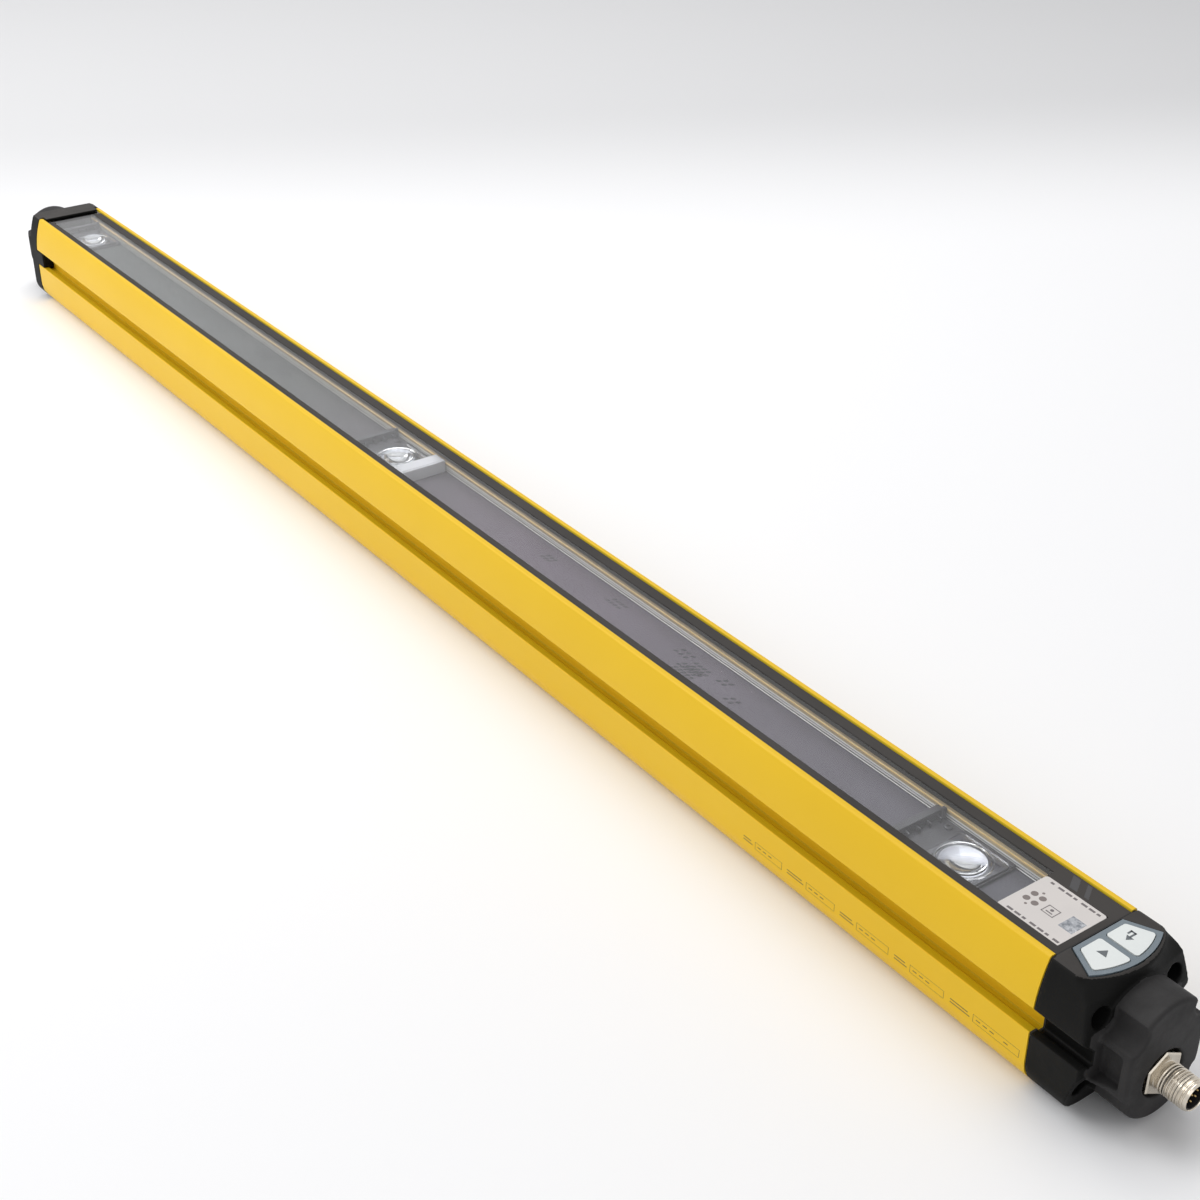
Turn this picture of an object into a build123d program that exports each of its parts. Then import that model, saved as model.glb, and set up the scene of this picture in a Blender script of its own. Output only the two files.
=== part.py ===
from build123d import *
from math import cos, pi, sin, tan
import os

# A three-beam safety light barrier that lies on its rear face.
# X runs along the housing towards the connector, Y across it, Z out of the front window.
# Lengths are in millimetres. The origin is the middle of the footprint, on the rear face's plane.

# Housing profile, outside
PROFILE_LENGTH = 897.0
PROFILE_WIDTH = 52.0
PROFILE_DEPTH = 55.5
REAR_CORNER_RADIUS = 11.0
RIDGE_WIDTH = 41.8
RIDGE_EDGE_RADIUS = 1.8
FLANK_BULGE = 0.85

# Side grooves for the bracket jaws
LOWER_LIP_HEIGHT = 25.1
UPPER_LIP_HEIGHT = 35.4
UPPER_LIP_SETBACK = 0.3
GROOVE_DEPTH = 7.1
GROOVE_SLANT_DROP = 5.8
GROOVE_FLOOR_DROP = 1.5
GROOVE_HOOK_WIDTH = 3.4

# Window and the strips that bond it in
WINDOW_OPENING = 36.5
WINDOW_RECESS = 0.9
WINDOW_THICKNESS = 3.0
WINDOW_SIDE_CLEARANCE = 0.1
BOND_WIDTH = 3.9
BOND_THICKNESS = 0.6

# Chamber inside the profile
REAR_WALL = 4.0
OPTICS_SPACE = 8.2
TRAY_THICKNESS = 1.6
TRAY_SIDE_CLEARANCE = 0.15
TRAY_LEDGE_WIDTH = 1.1
TRAY_LEDGE_THICKNESS = 2.5
TRAY_END_SETBACK = 12.0
GROOVE_WEB = 2.6
BOARD_LEDGE_WIDTH = 2.0
BOARD_UNDERSPACE = 13.0
BOARD_THICKNESS = 1.6
BOARD_SIDE_CLEARANCE = 0.3
BOARD_END_SETBACK = 6.0

# Screw ports in the profile's ends and the cap screws
PORT_RADIUS = 1.7
PORT_WALL = 1.55
UPPER_PORT_RISE = 7.2
LOWER_PORT_OFFSET = 5.0
LOWER_PORT_RISE = 1.5
PORT_DEPTH = 14.0
SCREW_CORE_CLEARANCE = 0.02
SCREW_REACH = 11.0
SCREW_HEAD_RADIUS = 3.5
SCREW_HEAD_HEIGHT = 3.0
SCREW_SOCKET_WIDTH = 2.8
SCREW_SOCKET_DEPTH = 1.8
SCREW_HOLE_RADIUS = 2.2
SCREW_POCKET_RADIUS = 4.2

# End cap seals
SEAL_THICKNESS = 0.8
SEAL_INSET = 0.7

# Round-sided bosses that the swivel brackets grip, on both end caps
TURRET_RADIUS = 18.2
TURRET_HEIGHT = 32.1
PLUG_HEIGHT = 20.1
RIM_CHAMFER = 0.8
SCREW_CHANNEL_RADIUS = 6.3
SIDE_CHANNEL_DEPTH = 3.6
SIDE_CHANNEL_TOP = 30.6
SIDE_CHANNEL_FLOOR = 19.4
END_PLATE_THICKNESS = 3.8
RIB_THICKNESS = 1.4
RIB_REACH = 4.0

# Connector end cap
CONNECTOR_CAP_REACH = 35.3
SHOULDER_REACH = 21.4
SHOULDER_BOW = 0.4
SHOULDER_HEIGHT = 38.0
WAIST_REACH = 18.6
WAIST_BOW = 2.4
WAIST_DROP = 6.2
CROWN_REACH = 14.2
CROWN_HALF_WIDTH = 19.8
CROWN_BOW = 6.8
CROWN_TAPER = 1.1
CROWN_EDGE_RADIUS = 1.5
CROWN_EDGE_STEPS = 3
BASE_REACH = 14.6
BASE_SLANT = 6.6
SCREW_SEAT_REACH = 12.0

# Keypad in the connector end cap
KEYPAD_SETBACK = 0.6
KEYPAD_REAR_WIDTH = 24.4
KEYPAD_FRONT_WIDTH = 36.0
KEYPAD_FLARE_LENGTH = 12.2
KEYPAD_BOW = 5.2
KEYPAD_THICKNESS = 1.2
KEYPAD_PROUD = 0.2
KEYPAD_FIT = 0.15
KEYPAD_SEAT_WIDTH = 0.9
KEY_BORDER = 2.1
KEY_GAP = 2.7
KEY_CORNER_RADIUS = 1.2
KEY_PROUD = 0.3
KEY_CLEARANCE = 0.3
KEY_FLANGE_WIDTH = 0.9
KEY_FLANGE_THICKNESS = 0.8
KEY_TRAVEL = 0.5
SWITCH_CLEARANCE = 0.1
KEY_BOARD_THICKNESS = 1.6
KEY_BOARD_CLEARANCE = 0.2
SWITCH_SIZE = 4.5
SWITCH_HEIGHT = 1.2
SWITCH_PLUNGER_RADIUS = 1.2
SWITCH_PLUNGER_HEIGHT = 0.5

# Round plug connector
PLUG_RADIUS = 5.9
PLUG_REACH = 13.4
PLUG_WALL = 1.2
PLUG_SOCKET_DEPTH = 8.0
PLUG_FLANGE_WIDTH = 16.0
PLUG_FLANGE_THICKNESS = 4.4
PLUG_FLANGE_CORNER = 8.9
PLUG_NECK_RADIUS = 6.8
PLUG_NECK_LENGTH = 11.0
PLUG_POCKET_RADIUS = 9.5
PLUG_POCKET_DEPTH = 5.0
PLUG_SEAL_THICKNESS = 1.0
PLUG_SEAL_INSET = 0.2
PLUG_FIT = 0.1
PLUG_PIN_COUNT = 8
PLUG_PIN_RADIUS = 0.4
PLUG_PIN_CIRCLE = 2.75
PLUG_PIN_REACH = 6.6
PLUG_RIB_WIDTH = 1.2

# Wiring between the plug, the boards and the keypad
HARNESS_RADIUS = 3.0
HARNESS_PASSAGE_RADIUS = 5.0
HARNESS_INNER_REACH = 16.0
SOCKET_BLOCK_LENGTH = 8.0
SOCKET_BLOCK_WIDTH = 10.0
FLEX_WIDTH = 8.0
FLEX_THICKNESS = 0.3
FLEX_BEND_RADIUS = 3.0
FLEX_INNER_REACH = 10.0
FLEX_OFFSET = 8.0
FLEX_PASSAGE_WIDTH = 12.0
FLEX_PASSAGE_HEIGHT = 5.2
FLEX_PASSAGE_REACH = 6.0

# Far end cap
FAR_CAP_REACH = 39.0
FAR_FLANGE_REACH = 12.0
FAR_CAP_RISE = 0.6
FAR_CROWN_WIDTH = 38.4
FAR_LIP_LENGTH = 4.5
FAR_LIP_CLEARANCE = 0.15
LUG_LENGTH = 9.0
LUG_CLEARANCE = 0.15

# Optical modules
BEAM_COUNT = 3
FIRST_BEAM_SETBACK = 59.1
LAST_BEAM_SETBACK = 37.9
HOLDER_FRONT_REACH = 12.4
HOLDER_BAR_SETBACK = 24.0
HOLDER_BAR_LENGTH = 3.4
HOLDER_BAR_HEIGHT = 4.8
HOLDER_PLATE_THICKNESS = 1.2
HOLDER_SIDE_CLEARANCE = 0.4
HOLDER_TUBE_RADIUS = 10.2
HOLDER_TUBE_WALL = 1.4
TRAY_HOLE_CLEARANCE = 0.2
LENS_PLATE_SIZE = 24.0
LENS_PLATE_THICKNESS = 1.2
LENS_RING_RADIUS = 11.0
LENS_RING_WIDTH = 1.1
LENS_RING_HEIGHT = 0.6
LENS_DOME_RADIUS = 8.75
LENS_DOME_RISE = 3.6
DIODE_BOARD_SIZE = 15.0
DIODE_BOARD_THICKNESS = 1.2
DIODE_RADIUS = 2.5
DIODE_HEIGHT = 3.0
LIGHT_GUIDE_SETBACK = 15.5
LIGHT_GUIDE_LENGTH = 9.0
LIGHT_GUIDE_HEIGHT = 6.4

# Status display and the window label
DISPLAY_LENGTH = 12.0
DISPLAY_WIDTH = 7.0
DISPLAY_HEIGHT = 6.2
DISPLAY_SETBACK = 12.5
LABEL_LENGTH = 27.0
LABEL_WIDTH = 25.0
LABEL_SETBACK = 2.8
LABEL_OFFSET = -2.6
LABEL_THICKNESS = 0.15

# Stations along X
TOTAL_LENGTH = FAR_CAP_REACH + PROFILE_LENGTH + CONNECTOR_CAP_REACH + PLUG_REACH
FAR_END = FAR_CAP_REACH - TOTAL_LENGTH / 2
NEAR_END = FAR_END + PROFILE_LENGTH
CAP_REAR = NEAR_END + SEAL_THICKNESS
CAP_FRONT = NEAR_END + CONNECTOR_CAP_REACH
FAR_CAP_REAR = FAR_END - SEAL_THICKNESS
FAR_CAP_FRONT = FAR_END - FAR_CAP_REACH

# Levels above the rear face
WINDOW_TOP = PROFILE_DEPTH - WINDOW_RECESS
WINDOW_BASE = WINDOW_TOP - WINDOW_THICKNESS
WINDOW_LEDGE = WINDOW_BASE - BOND_THICKNESS
TRAY_TOP = WINDOW_LEDGE - OPTICS_SPACE
TRAY_BASE = TRAY_TOP - TRAY_THICKNESS
BOARD_BASE = REAR_WALL + BOARD_UNDERSPACE
BOARD_TOP = BOARD_BASE + BOARD_THICKNESS
CAP_TOP = PROFILE_DEPTH
FAR_CAP_TOP = PROFILE_DEPTH + FAR_CAP_RISE

# Half widths that several pieces share
HALF_WIDTH = PROFILE_WIDTH / 2
OPTICS_HALF = WINDOW_OPENING / 2 - BOND_WIDTH
ELECTRONICS_HALF = HALF_WIDTH - GROOVE_DEPTH - GROOVE_WEB
BOARD_LEDGE_HALF = ELECTRONICS_HALF - BOARD_LEDGE_WIDTH
UPPER_PORT = (OPTICS_HALF + PORT_WALL + PORT_RADIUS, UPPER_LIP_HEIGHT + UPPER_PORT_RISE)
LOWER_PORT = (BOARD_LEDGE_HALF + LOWER_PORT_OFFSET, REAR_CORNER_RADIUS + LOWER_PORT_RISE)
PORTS = [(side * y, z) for y, z in (UPPER_PORT, LOWER_PORT) for side in (-1, 1)]
CUT_MARGIN = 5.0


def prism(section, start, end):
    """Extrude a section drawn in (Y, Z) from one station to another along X."""
    station = Plane(origin=(start, 0, 0), x_dir=(0, 1, 0), z_dir=(1, 0, 0))
    return extrude(station * section, amount=end - start)


def slab(outline, base, top):
    """Extrude an outline drawn in (X, Y) from one level to another."""
    return extrude(Plane.XY.offset(base) * outline, amount=top - base)


def rectangle(left, right, low, high):
    """A rectangle given by its four sides."""
    return Pos((left + right) / 2, (low + high) / 2) * Rectangle(right - left, high - low)


def polygon(*points):
    """A face with straight sides through the points."""
    return make_face(Polyline(*points, close=True))


def rod(radius, start, end, y=0.0, z=0.0):
    """A round rod along X, centred on y and z."""
    return prism(Pos(y, z) * Circle(radius), start, end)


def both_sides(shape):
    """The shape and its mirror image across the middle plane, in (Y, Z) or in space."""
    about = Plane.YZ if isinstance(shape, Sketch) else Plane.XZ
    return shape + mirror(shape, about=about)


def housing_outline():
    """Outside of the housing in (Y, Z), closed across the front."""
    ridge = (RIDGE_WIDTH / 2, PROFILE_DEPTH)
    upper_lip = (HALF_WIDTH - UPPER_LIP_SETBACK, UPPER_LIP_HEIGHT)
    lower_lip = (HALF_WIDTH, LOWER_LIP_HEIGHT)
    flank_middle = ((ridge[0] + upper_lip[0]) / 2 + FLANK_BULGE, (ridge[1] + upper_lip[1]) / 2)
    corner = HALF_WIDTH - REAR_CORNER_RADIUS
    half = [
        Line((0, 0), (corner, 0)),
        CenterArc((corner, REAR_CORNER_RADIUS), REAR_CORNER_RADIUS, -90, 90),
        Line((HALF_WIDTH, REAR_CORNER_RADIUS), lower_lip),
        Line(lower_lip, upper_lip),
        ThreePointArc(upper_lip, flank_middle, ridge),
        Line(ridge, (0, PROFILE_DEPTH)),
    ]
    outline = make_face(half + [mirror(edge, about=Plane.YZ) for edge in half])
    ridge_corners = outline.vertices().group_by(Axis.Y)[-1].filter_by(lambda v: abs(v.X) > 1)
    return fillet(ridge_corners, RIDGE_EDGE_RADIUS)


def side_groove(shrink=0.0):
    """Section of the right-hand groove: slanting roof, straight web and a hooked floor."""
    wall = HALF_WIDTH - GROOVE_DEPTH + shrink
    lip = HALF_WIDTH - UPPER_LIP_SETBACK
    slope = GROOVE_SLANT_DROP / (lip - wall - UPPER_LIP_SETBACK)
    roof_end = UPPER_LIP_HEIGHT - GROOVE_SLANT_DROP
    outside = HALF_WIDTH + CUT_MARGIN
    floor = LOWER_LIP_HEIGHT - GROOVE_FLOOR_DROP + shrink
    lip_floor = LOWER_LIP_HEIGHT + shrink
    return polygon(
        (outside, UPPER_LIP_HEIGHT + slope * (outside - lip) - shrink),
        (wall + UPPER_LIP_SETBACK * 2, roof_end - shrink),
        (wall, roof_end - 2 * UPPER_LIP_SETBACK - shrink),
        (wall, floor),
        (HALF_WIDTH - GROOVE_HOOK_WIDTH - GROOVE_FLOOR_DROP, floor),
        (HALF_WIDTH - GROOVE_HOOK_WIDTH, lip_floor),
        (outside, lip_floor),
    )


def chamber():
    """Section of the space inside the profile, from the rear wall up to the window's ledge."""
    tray_ledge_half = OPTICS_HALF - TRAY_LEDGE_WIDTH
    tray_ledge_base = TRAY_BASE - TRAY_LEDGE_THICKNESS
    return (
        rectangle(-BOARD_LEDGE_HALF, BOARD_LEDGE_HALF, REAR_WALL, BOARD_BASE)
        + rectangle(-ELECTRONICS_HALF, ELECTRONICS_HALF, BOARD_BASE, tray_ledge_base)
        + rectangle(-tray_ledge_half, tray_ledge_half, tray_ledge_base, TRAY_BASE)
        + rectangle(-OPTICS_HALF, OPTICS_HALF, TRAY_BASE, WINDOW_LEDGE)
    )


def port_circles(radius):
    """The four screw positions of an end cap, as circles in (Y, Z)."""
    return Sketch() + [Pos(y, z) * Circle(radius) for y, z in PORTS]


def housing_profile():
    """Extruded housing with its window rebate, chamber, grooves and screw ports."""
    rebate = rectangle(-WINDOW_OPENING / 2, WINDOW_OPENING / 2, WINDOW_LEDGE, PROFILE_DEPTH + CUT_MARGIN)
    section = housing_outline() - both_sides(side_groove()) - chamber() - rebate
    profile = prism(section, FAR_END, NEAR_END)
    profile -= prism(port_circles(PORT_RADIUS), FAR_END, FAR_END + PORT_DEPTH)
    profile -= prism(port_circles(PORT_RADIUS), NEAR_END - PORT_DEPTH, NEAR_END)
    return profile


def front_window():
    """Clear plate between the two ridges."""
    half = WINDOW_OPENING / 2 - WINDOW_SIDE_CLEARANCE
    return prism(rectangle(-half, half, WINDOW_BASE, WINDOW_TOP), FAR_END, NEAR_END)


def window_bond(side):
    """Dark strip that bonds one long edge of the window to its ledge."""
    inner = side * OPTICS_HALF
    outer = side * (WINDOW_OPENING / 2 - WINDOW_SIDE_CLEARANCE)
    strip = rectangle(min(inner, outer), max(inner, outer), WINDOW_LEDGE, WINDOW_BASE)
    return prism(strip, FAR_END, NEAR_END)


def end_seal(start, end, top):
    """Flat gasket between the profile's end and a cap, open at the chamber and the screws."""
    section = offset(housing_outline(), amount=-SEAL_INSET, kind=Kind.INTERSECTION)
    section -= both_sides(side_groove()) + chamber() + port_circles(SCREW_HOLE_RADIUS)
    section -= rectangle(-HALF_WIDTH, HALF_WIDTH, top, PROFILE_DEPTH + CUT_MARGIN)
    return prism(section, start, end)


def boss_section():
    """Outline of the gripping boss: two equal half rounds joined by straight sides."""
    straight = TURRET_HEIGHT - PLUG_HEIGHT
    middle = (TURRET_HEIGHT + PLUG_HEIGHT) / 2
    return Pos(0, middle) * SlotCenterToCenter(straight, 2 * TURRET_RADIUS, rotation=90)


def side_channel():
    """Section of the hollow in the right-hand side of the boss, in line with the side groove."""
    wall = TURRET_RADIUS - SIDE_CHANNEL_DEPTH
    outside = HALF_WIDTH + CUT_MARGIN
    roof = SIDE_CHANNEL_TOP + outside - wall
    return polygon(
        (wall, SIDE_CHANNEL_FLOOR), (outside, SIDE_CHANNEL_FLOOR), (outside, roof), (wall, SIDE_CHANNEL_TOP)
    )


def swivel_boss(root, shoulder, tip):
    """Boss that a swivel bracket grips, pointing to +X, hollowed at both sides in front of the shoulder."""
    boss = prism(boss_section(), root, tip)
    boss = chamfer(boss.faces().sort_by(Axis.X)[-1].edges(), RIM_CHAMFER)
    upper = [rod(SCREW_CHANNEL_RADIUS, shoulder, tip + CUT_MARGIN, side * UPPER_PORT[0], UPPER_PORT[1])
             for side in (-1, 1)]
    boss -= upper
    boss -= both_sides(prism(side_channel(), shoulder, tip - END_PLATE_THICKNESS))
    boss += both_sides(boss_rib(shoulder, tip))
    return boss


def boss_rib(shoulder, tip):
    """Thin rib under the side channel, from the cap's base to the end of the boss."""
    inner = TURRET_RADIUS - SIDE_CHANNEL_DEPTH
    rear = shoulder - END_PLATE_THICKNESS
    front = tip - END_PLATE_THICKNESS
    plan = polygon((rear, inner), (rear, TURRET_RADIUS + RIB_REACH), (front, TURRET_RADIUS), (front, inner))
    return slab(plan, SIDE_CHANNEL_FLOOR - RIB_THICKNESS, SIDE_CHANNEL_FLOOR)


def screw_passages(seat, rear, tip):
    """Holes for the four cap screws with round pockets that take their heads, pointing to +X."""
    holes = prism(port_circles(SCREW_HOLE_RADIUS), rear - CUT_MARGIN, seat)
    return holes + prism(port_circles(SCREW_POCKET_RADIUS), seat, tip + CUT_MARGIN)


def cap_screws(seat, port_end):
    """The four socket-head screws that hold a cap, heads towards +X."""
    head = prism(port_circles(SCREW_HEAD_RADIUS), seat, seat + SCREW_HEAD_HEIGHT)
    socket = RegularPolygon(SCREW_SOCKET_WIDTH / 2, 6, major_radius=False)
    sockets = Sketch() + [Pos(y, z) * socket for y, z in PORTS]
    head -= prism(sockets, seat + SCREW_HEAD_HEIGHT - SCREW_SOCKET_DEPTH, seat + SCREW_HEAD_HEIGHT)
    return head + prism(port_circles(PORT_RADIUS - SCREW_CORE_CLEARANCE), port_end - SCREW_REACH, seat)


def bowed_outline(rear, reach, rear_half, front_half, bow):
    """Outline in (X, Y): straight rear and sides, and a front edge that bows out in the middle."""
    front = ThreePointArc((reach, -front_half), (reach + bow, 0), (reach, front_half))
    sides = Polyline((reach, front_half), (rear, rear_half), (rear, -rear_half), (reach, -front_half))
    return make_face([front] + list(sides.edges()))


def connector_cap_shoulder():
    """Main block of the connector cap: the housing's section under a bowed and tapering front wall."""
    outer = HALF_WIDTH + CUT_MARGIN
    rear = CAP_REAR - CUT_MARGIN
    low = bowed_outline(rear, NEAR_END + SHOULDER_REACH, outer, HALF_WIDTH, SHOULDER_BOW)
    waist_half = HALF_WIDTH - UPPER_LIP_SETBACK - CROWN_TAPER
    waist = bowed_outline(rear, NEAR_END + WAIST_REACH, outer, waist_half, WAIST_BOW)
    levels = [(SHOULDER_HEIGHT, low), (CAP_TOP - WAIST_DROP, waist)]
    for step in range(CROWN_EDGE_STEPS + 1):
        angle = pi / 2 * step / CROWN_EDGE_STEPS
        inset = CROWN_EDGE_RADIUS * (1 - cos(angle))
        level = CAP_TOP - CROWN_EDGE_RADIUS * (1 - sin(angle))
        reach = NEAR_END + CROWN_REACH - inset
        levels.append((level, bowed_outline(rear, reach, outer, CROWN_HALF_WIDTH - inset, CROWN_BOW)))
    block = slab(low, -CUT_MARGIN, SHOULDER_HEIGHT)
    for (base, lower), (top, upper) in zip(levels, levels[1:]):
        block += loft([Plane.XY.offset(base) * lower, Plane.XY.offset(top) * upper], ruled=True)
    section = housing_outline() - both_sides(side_groove())
    block &= prism(section, CAP_REAR, NEAR_END + SHOULDER_REACH + CUT_MARGIN)
    return block - base_undercut()


def base_undercut():
    """Space in front of the connector cap's slanting base."""
    foot = NEAR_END + BASE_REACH
    level = SIDE_CHANNEL_FLOOR
    far = CAP_FRONT + CUT_MARGIN
    profile = polygon((foot, -CUT_MARGIN), (foot + BASE_SLANT, level), (far, level), (far, -CUT_MARGIN))
    return extrude(Plane.XZ * profile, amount=HALF_WIDTH + CUT_MARGIN, both=True)


def keypad_outline(border=0.0):
    """Outline of the keypad, or of what lies inside it by the border, in (X, Y)."""
    rear = NEAR_END + KEYPAD_SETBACK + SEAL_THICKNESS
    front = rear + KEYPAD_FLARE_LENGTH
    full = bowed_outline(rear, front, KEYPAD_REAR_WIDTH / 2, KEYPAD_FRONT_WIDTH / 2, KEYPAD_BOW)
    if border == 0.0:
        return full
    return offset(full, amount=-border, kind=Kind.INTERSECTION)


def key_outline(side, grow=0.0):
    """Outline of one key: its half of the keypad inside the border, with rounded corners."""
    inside = keypad_outline(KEY_BORDER)
    box = inside.bounding_box()
    gap = side * KEY_GAP / 2
    outer = side * (HALF_WIDTH + CUT_MARGIN)
    half = rectangle(box.min.X - CUT_MARGIN, box.max.X + CUT_MARGIN, min(gap, outer), max(gap, outer))
    key = Sketch() + (inside & half)
    key = fillet(key.vertices(), KEY_CORNER_RADIUS)
    if grow == 0.0:
        return key
    return offset(key, amount=grow)


KEYPAD_TOP = CAP_TOP + KEYPAD_PROUD
KEYPAD_BASE = KEYPAD_TOP - KEYPAD_THICKNESS
KEY_TOP = KEYPAD_TOP + KEY_PROUD
KEY_BASE = KEYPAD_BASE - KEY_FLANGE_THICKNESS
SWITCH_TOP = KEY_BASE - KEY_TRAVEL - SWITCH_CLEARANCE
KEY_BOARD_TOP = SWITCH_TOP - SWITCH_HEIGHT - SWITCH_PLUNGER_HEIGHT
KEY_BOARD_BASE = KEY_BOARD_TOP - KEY_BOARD_THICKNESS


def keypad_pocket():
    """Stepped pocket in the cap's crown: a seat for the frame and a well for the key board."""
    seat = slab(offset(keypad_outline(), amount=KEYPAD_FIT, kind=Kind.INTERSECTION), KEYPAD_BASE, KEY_TOP)
    well = slab(keypad_outline(KEYPAD_SEAT_WIDTH), KEY_BOARD_BASE, KEYPAD_BASE)
    passage_rear = CAP_REAR - CUT_MARGIN
    passage_front = NEAR_END + FLEX_PASSAGE_REACH
    half = FLEX_PASSAGE_WIDTH / 2
    plan = rectangle(passage_rear, passage_front, FLEX_OFFSET - half, FLEX_OFFSET + half)
    passage = slab(plan, KEY_BOARD_BASE - FLEX_PASSAGE_HEIGHT, KEY_BOARD_TOP)
    return seat + well + passage


def plug_passage():
    """Pocket for the plug's flange, bore for its neck and the way in for its wires."""
    pocket_floor = CAP_FRONT - PLUG_POCKET_DEPTH
    neck_end = pocket_floor - PLUG_NECK_LENGTH
    return (
        rod(PLUG_POCKET_RADIUS, pocket_floor, CAP_FRONT + CUT_MARGIN, 0, PLUG_HEIGHT)
        + rod(PLUG_NECK_RADIUS + PLUG_FIT, neck_end, pocket_floor, 0, PLUG_HEIGHT)
        + rod(HARNESS_PASSAGE_RADIUS, CAP_REAR - CUT_MARGIN, neck_end, 0, PLUG_HEIGHT)
    )


def connector_cap():
    """Moulded cap at the connector end, with the keypad, the gripping boss and the plug's seat."""
    shoulder = NEAR_END + SHOULDER_REACH
    seat = NEAR_END + SCREW_SEAT_REACH
    cap = connector_cap_shoulder() + swivel_boss(CAP_REAR, shoulder, CAP_FRONT)
    cap -= keypad_pocket()
    cap -= plug_passage()
    cap -= screw_passages(seat, CAP_REAR, CAP_FRONT)
    return cap


def keypad_frame():
    """Bezel around the two keys."""
    frame = slab(keypad_outline(), KEYPAD_BASE, KEYPAD_TOP)
    for side in (-1, 1):
        frame -= slab(key_outline(side, KEY_CLEARANCE), KEYPAD_BASE, KEYPAD_TOP)
    return frame


def keypad_key(side):
    """One key: a cap that fills its opening and a wider flange that keeps it in."""
    cap = slab(key_outline(side), KEYPAD_BASE, KEY_TOP)
    return cap + slab(key_outline(side, KEY_FLANGE_WIDTH), KEY_BASE, KEYPAD_BASE)


def key_centre(side):
    """Middle of a key in (X, Y)."""
    centre = key_outline(side).center()
    return centre.X, centre.Y


def key_board():
    """Small circuit board on the floor of the keypad's well."""
    return slab(keypad_outline(KEYPAD_SEAT_WIDTH + KEY_BOARD_CLEARANCE), KEY_BOARD_BASE, KEY_BOARD_TOP)


def key_switches():
    """The two push switches under the keys."""
    switches = Part()
    for side in (-1, 1):
        x, y = key_centre(side)
        body_top = KEY_BOARD_TOP + SWITCH_HEIGHT
        switches += slab(Pos(x, y) * Rectangle(SWITCH_SIZE, SWITCH_SIZE), KEY_BOARD_TOP, body_top)
        switches += slab(Pos(x, y) * Circle(SWITCH_PLUNGER_RADIUS), body_top, SWITCH_TOP)
    return switches


def keypad_flex():
    """Flat flexible cable from under the key board down to the main board."""
    level = KEY_BOARD_BASE - FLEX_THICKNESS / 2
    start = (NEAR_END + FLEX_PASSAGE_REACH - FLEX_BEND_RADIUS / 2, FLEX_OFFSET, level)
    turn = (NEAR_END - FLEX_INNER_REACH, FLEX_OFFSET, level)
    end = (turn[0], FLEX_OFFSET, BOARD_TOP)
    path = FilletPolyline(start, turn, end, radius=FLEX_BEND_RADIUS)
    section = Plane(origin=start, x_dir=(0, 1, 0), z_dir=(-1, 0, 0)) * Rectangle(FLEX_WIDTH, FLEX_THICKNESS)
    return sweep(section, path=path)


def plug_shell():
    """Nickelled shell of the round plug: hexagon flange, neck and open barrel."""
    flange_base = CAP_FRONT - PLUG_POCKET_DEPTH + PLUG_SEAL_THICKNESS
    flange_top = flange_base + PLUG_FLANGE_THICKNESS
    neck_rear = CAP_FRONT - PLUG_POCKET_DEPTH - PLUG_NECK_LENGTH
    tip = CAP_FRONT + PLUG_REACH
    hexagon = RegularPolygon(PLUG_FLANGE_WIDTH / 2, 6, major_radius=False)
    flange = (Pos(0, PLUG_HEIGHT) * hexagon) & (Pos(0, PLUG_HEIGHT) * Circle(PLUG_FLANGE_CORNER))
    shell = prism(Sketch() + flange, flange_base, flange_top)
    shell += rod(PLUG_NECK_RADIUS, neck_rear, flange_base, 0, PLUG_HEIGHT)
    shell += rod(PLUG_RADIUS, flange_top, tip, 0, PLUG_HEIGHT)
    return shell - rod(PLUG_RADIUS - PLUG_WALL, neck_rear, tip, 0, PLUG_HEIGHT)


def plug_insert():
    """Moulded insert that carries the pins, with its coding rib at the barrel's wall."""
    radius = PLUG_RADIUS - PLUG_WALL
    rear = CAP_FRONT - PLUG_POCKET_DEPTH - PLUG_NECK_LENGTH
    front = CAP_FRONT + PLUG_REACH - PLUG_SOCKET_DEPTH
    insert = rod(radius, rear, front, 0, PLUG_HEIGHT)
    half = PLUG_RIB_WIDTH / 2
    crest = PLUG_HEIGHT + radius
    bore = Pos(0, PLUG_HEIGHT) * Circle(radius)
    rib_section = bore & rectangle(-half, half, crest - PLUG_RIB_WIDTH, crest)
    rib = prism(Sketch() + rib_section, front, CAP_FRONT + PLUG_REACH - PLUG_WALL)
    return insert + rib - plug_pins()


def plug_pins():
    """Contact pins: one in the middle and the rest on a circle."""
    front = CAP_FRONT + PLUG_REACH - PLUG_SOCKET_DEPTH
    rear = CAP_FRONT - PLUG_POCKET_DEPTH
    pins = rod(PLUG_PIN_RADIUS, rear, front + PLUG_PIN_REACH, 0, PLUG_HEIGHT)
    ring = PLUG_PIN_COUNT - 1
    for index in range(ring):
        angle = 2 * pi * (index + 0.5) / ring + pi / 2
        y = PLUG_PIN_CIRCLE * cos(angle)
        z = PLUG_HEIGHT + PLUG_PIN_CIRCLE * sin(angle)
        pins += rod(PLUG_PIN_RADIUS, rear, front + PLUG_PIN_REACH, y, z)
    return pins


def plug_seal():
    """Flat ring between the plug's flange and the pocket's floor."""
    floor = CAP_FRONT - PLUG_POCKET_DEPTH
    ring = rod(PLUG_FLANGE_WIDTH / 2 - PLUG_SEAL_INSET, floor, floor + PLUG_SEAL_THICKNESS, 0, PLUG_HEIGHT)
    return ring - rod(PLUG_NECK_RADIUS + PLUG_FIT, floor, floor + PLUG_SEAL_THICKNESS, 0, PLUG_HEIGHT)


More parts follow.
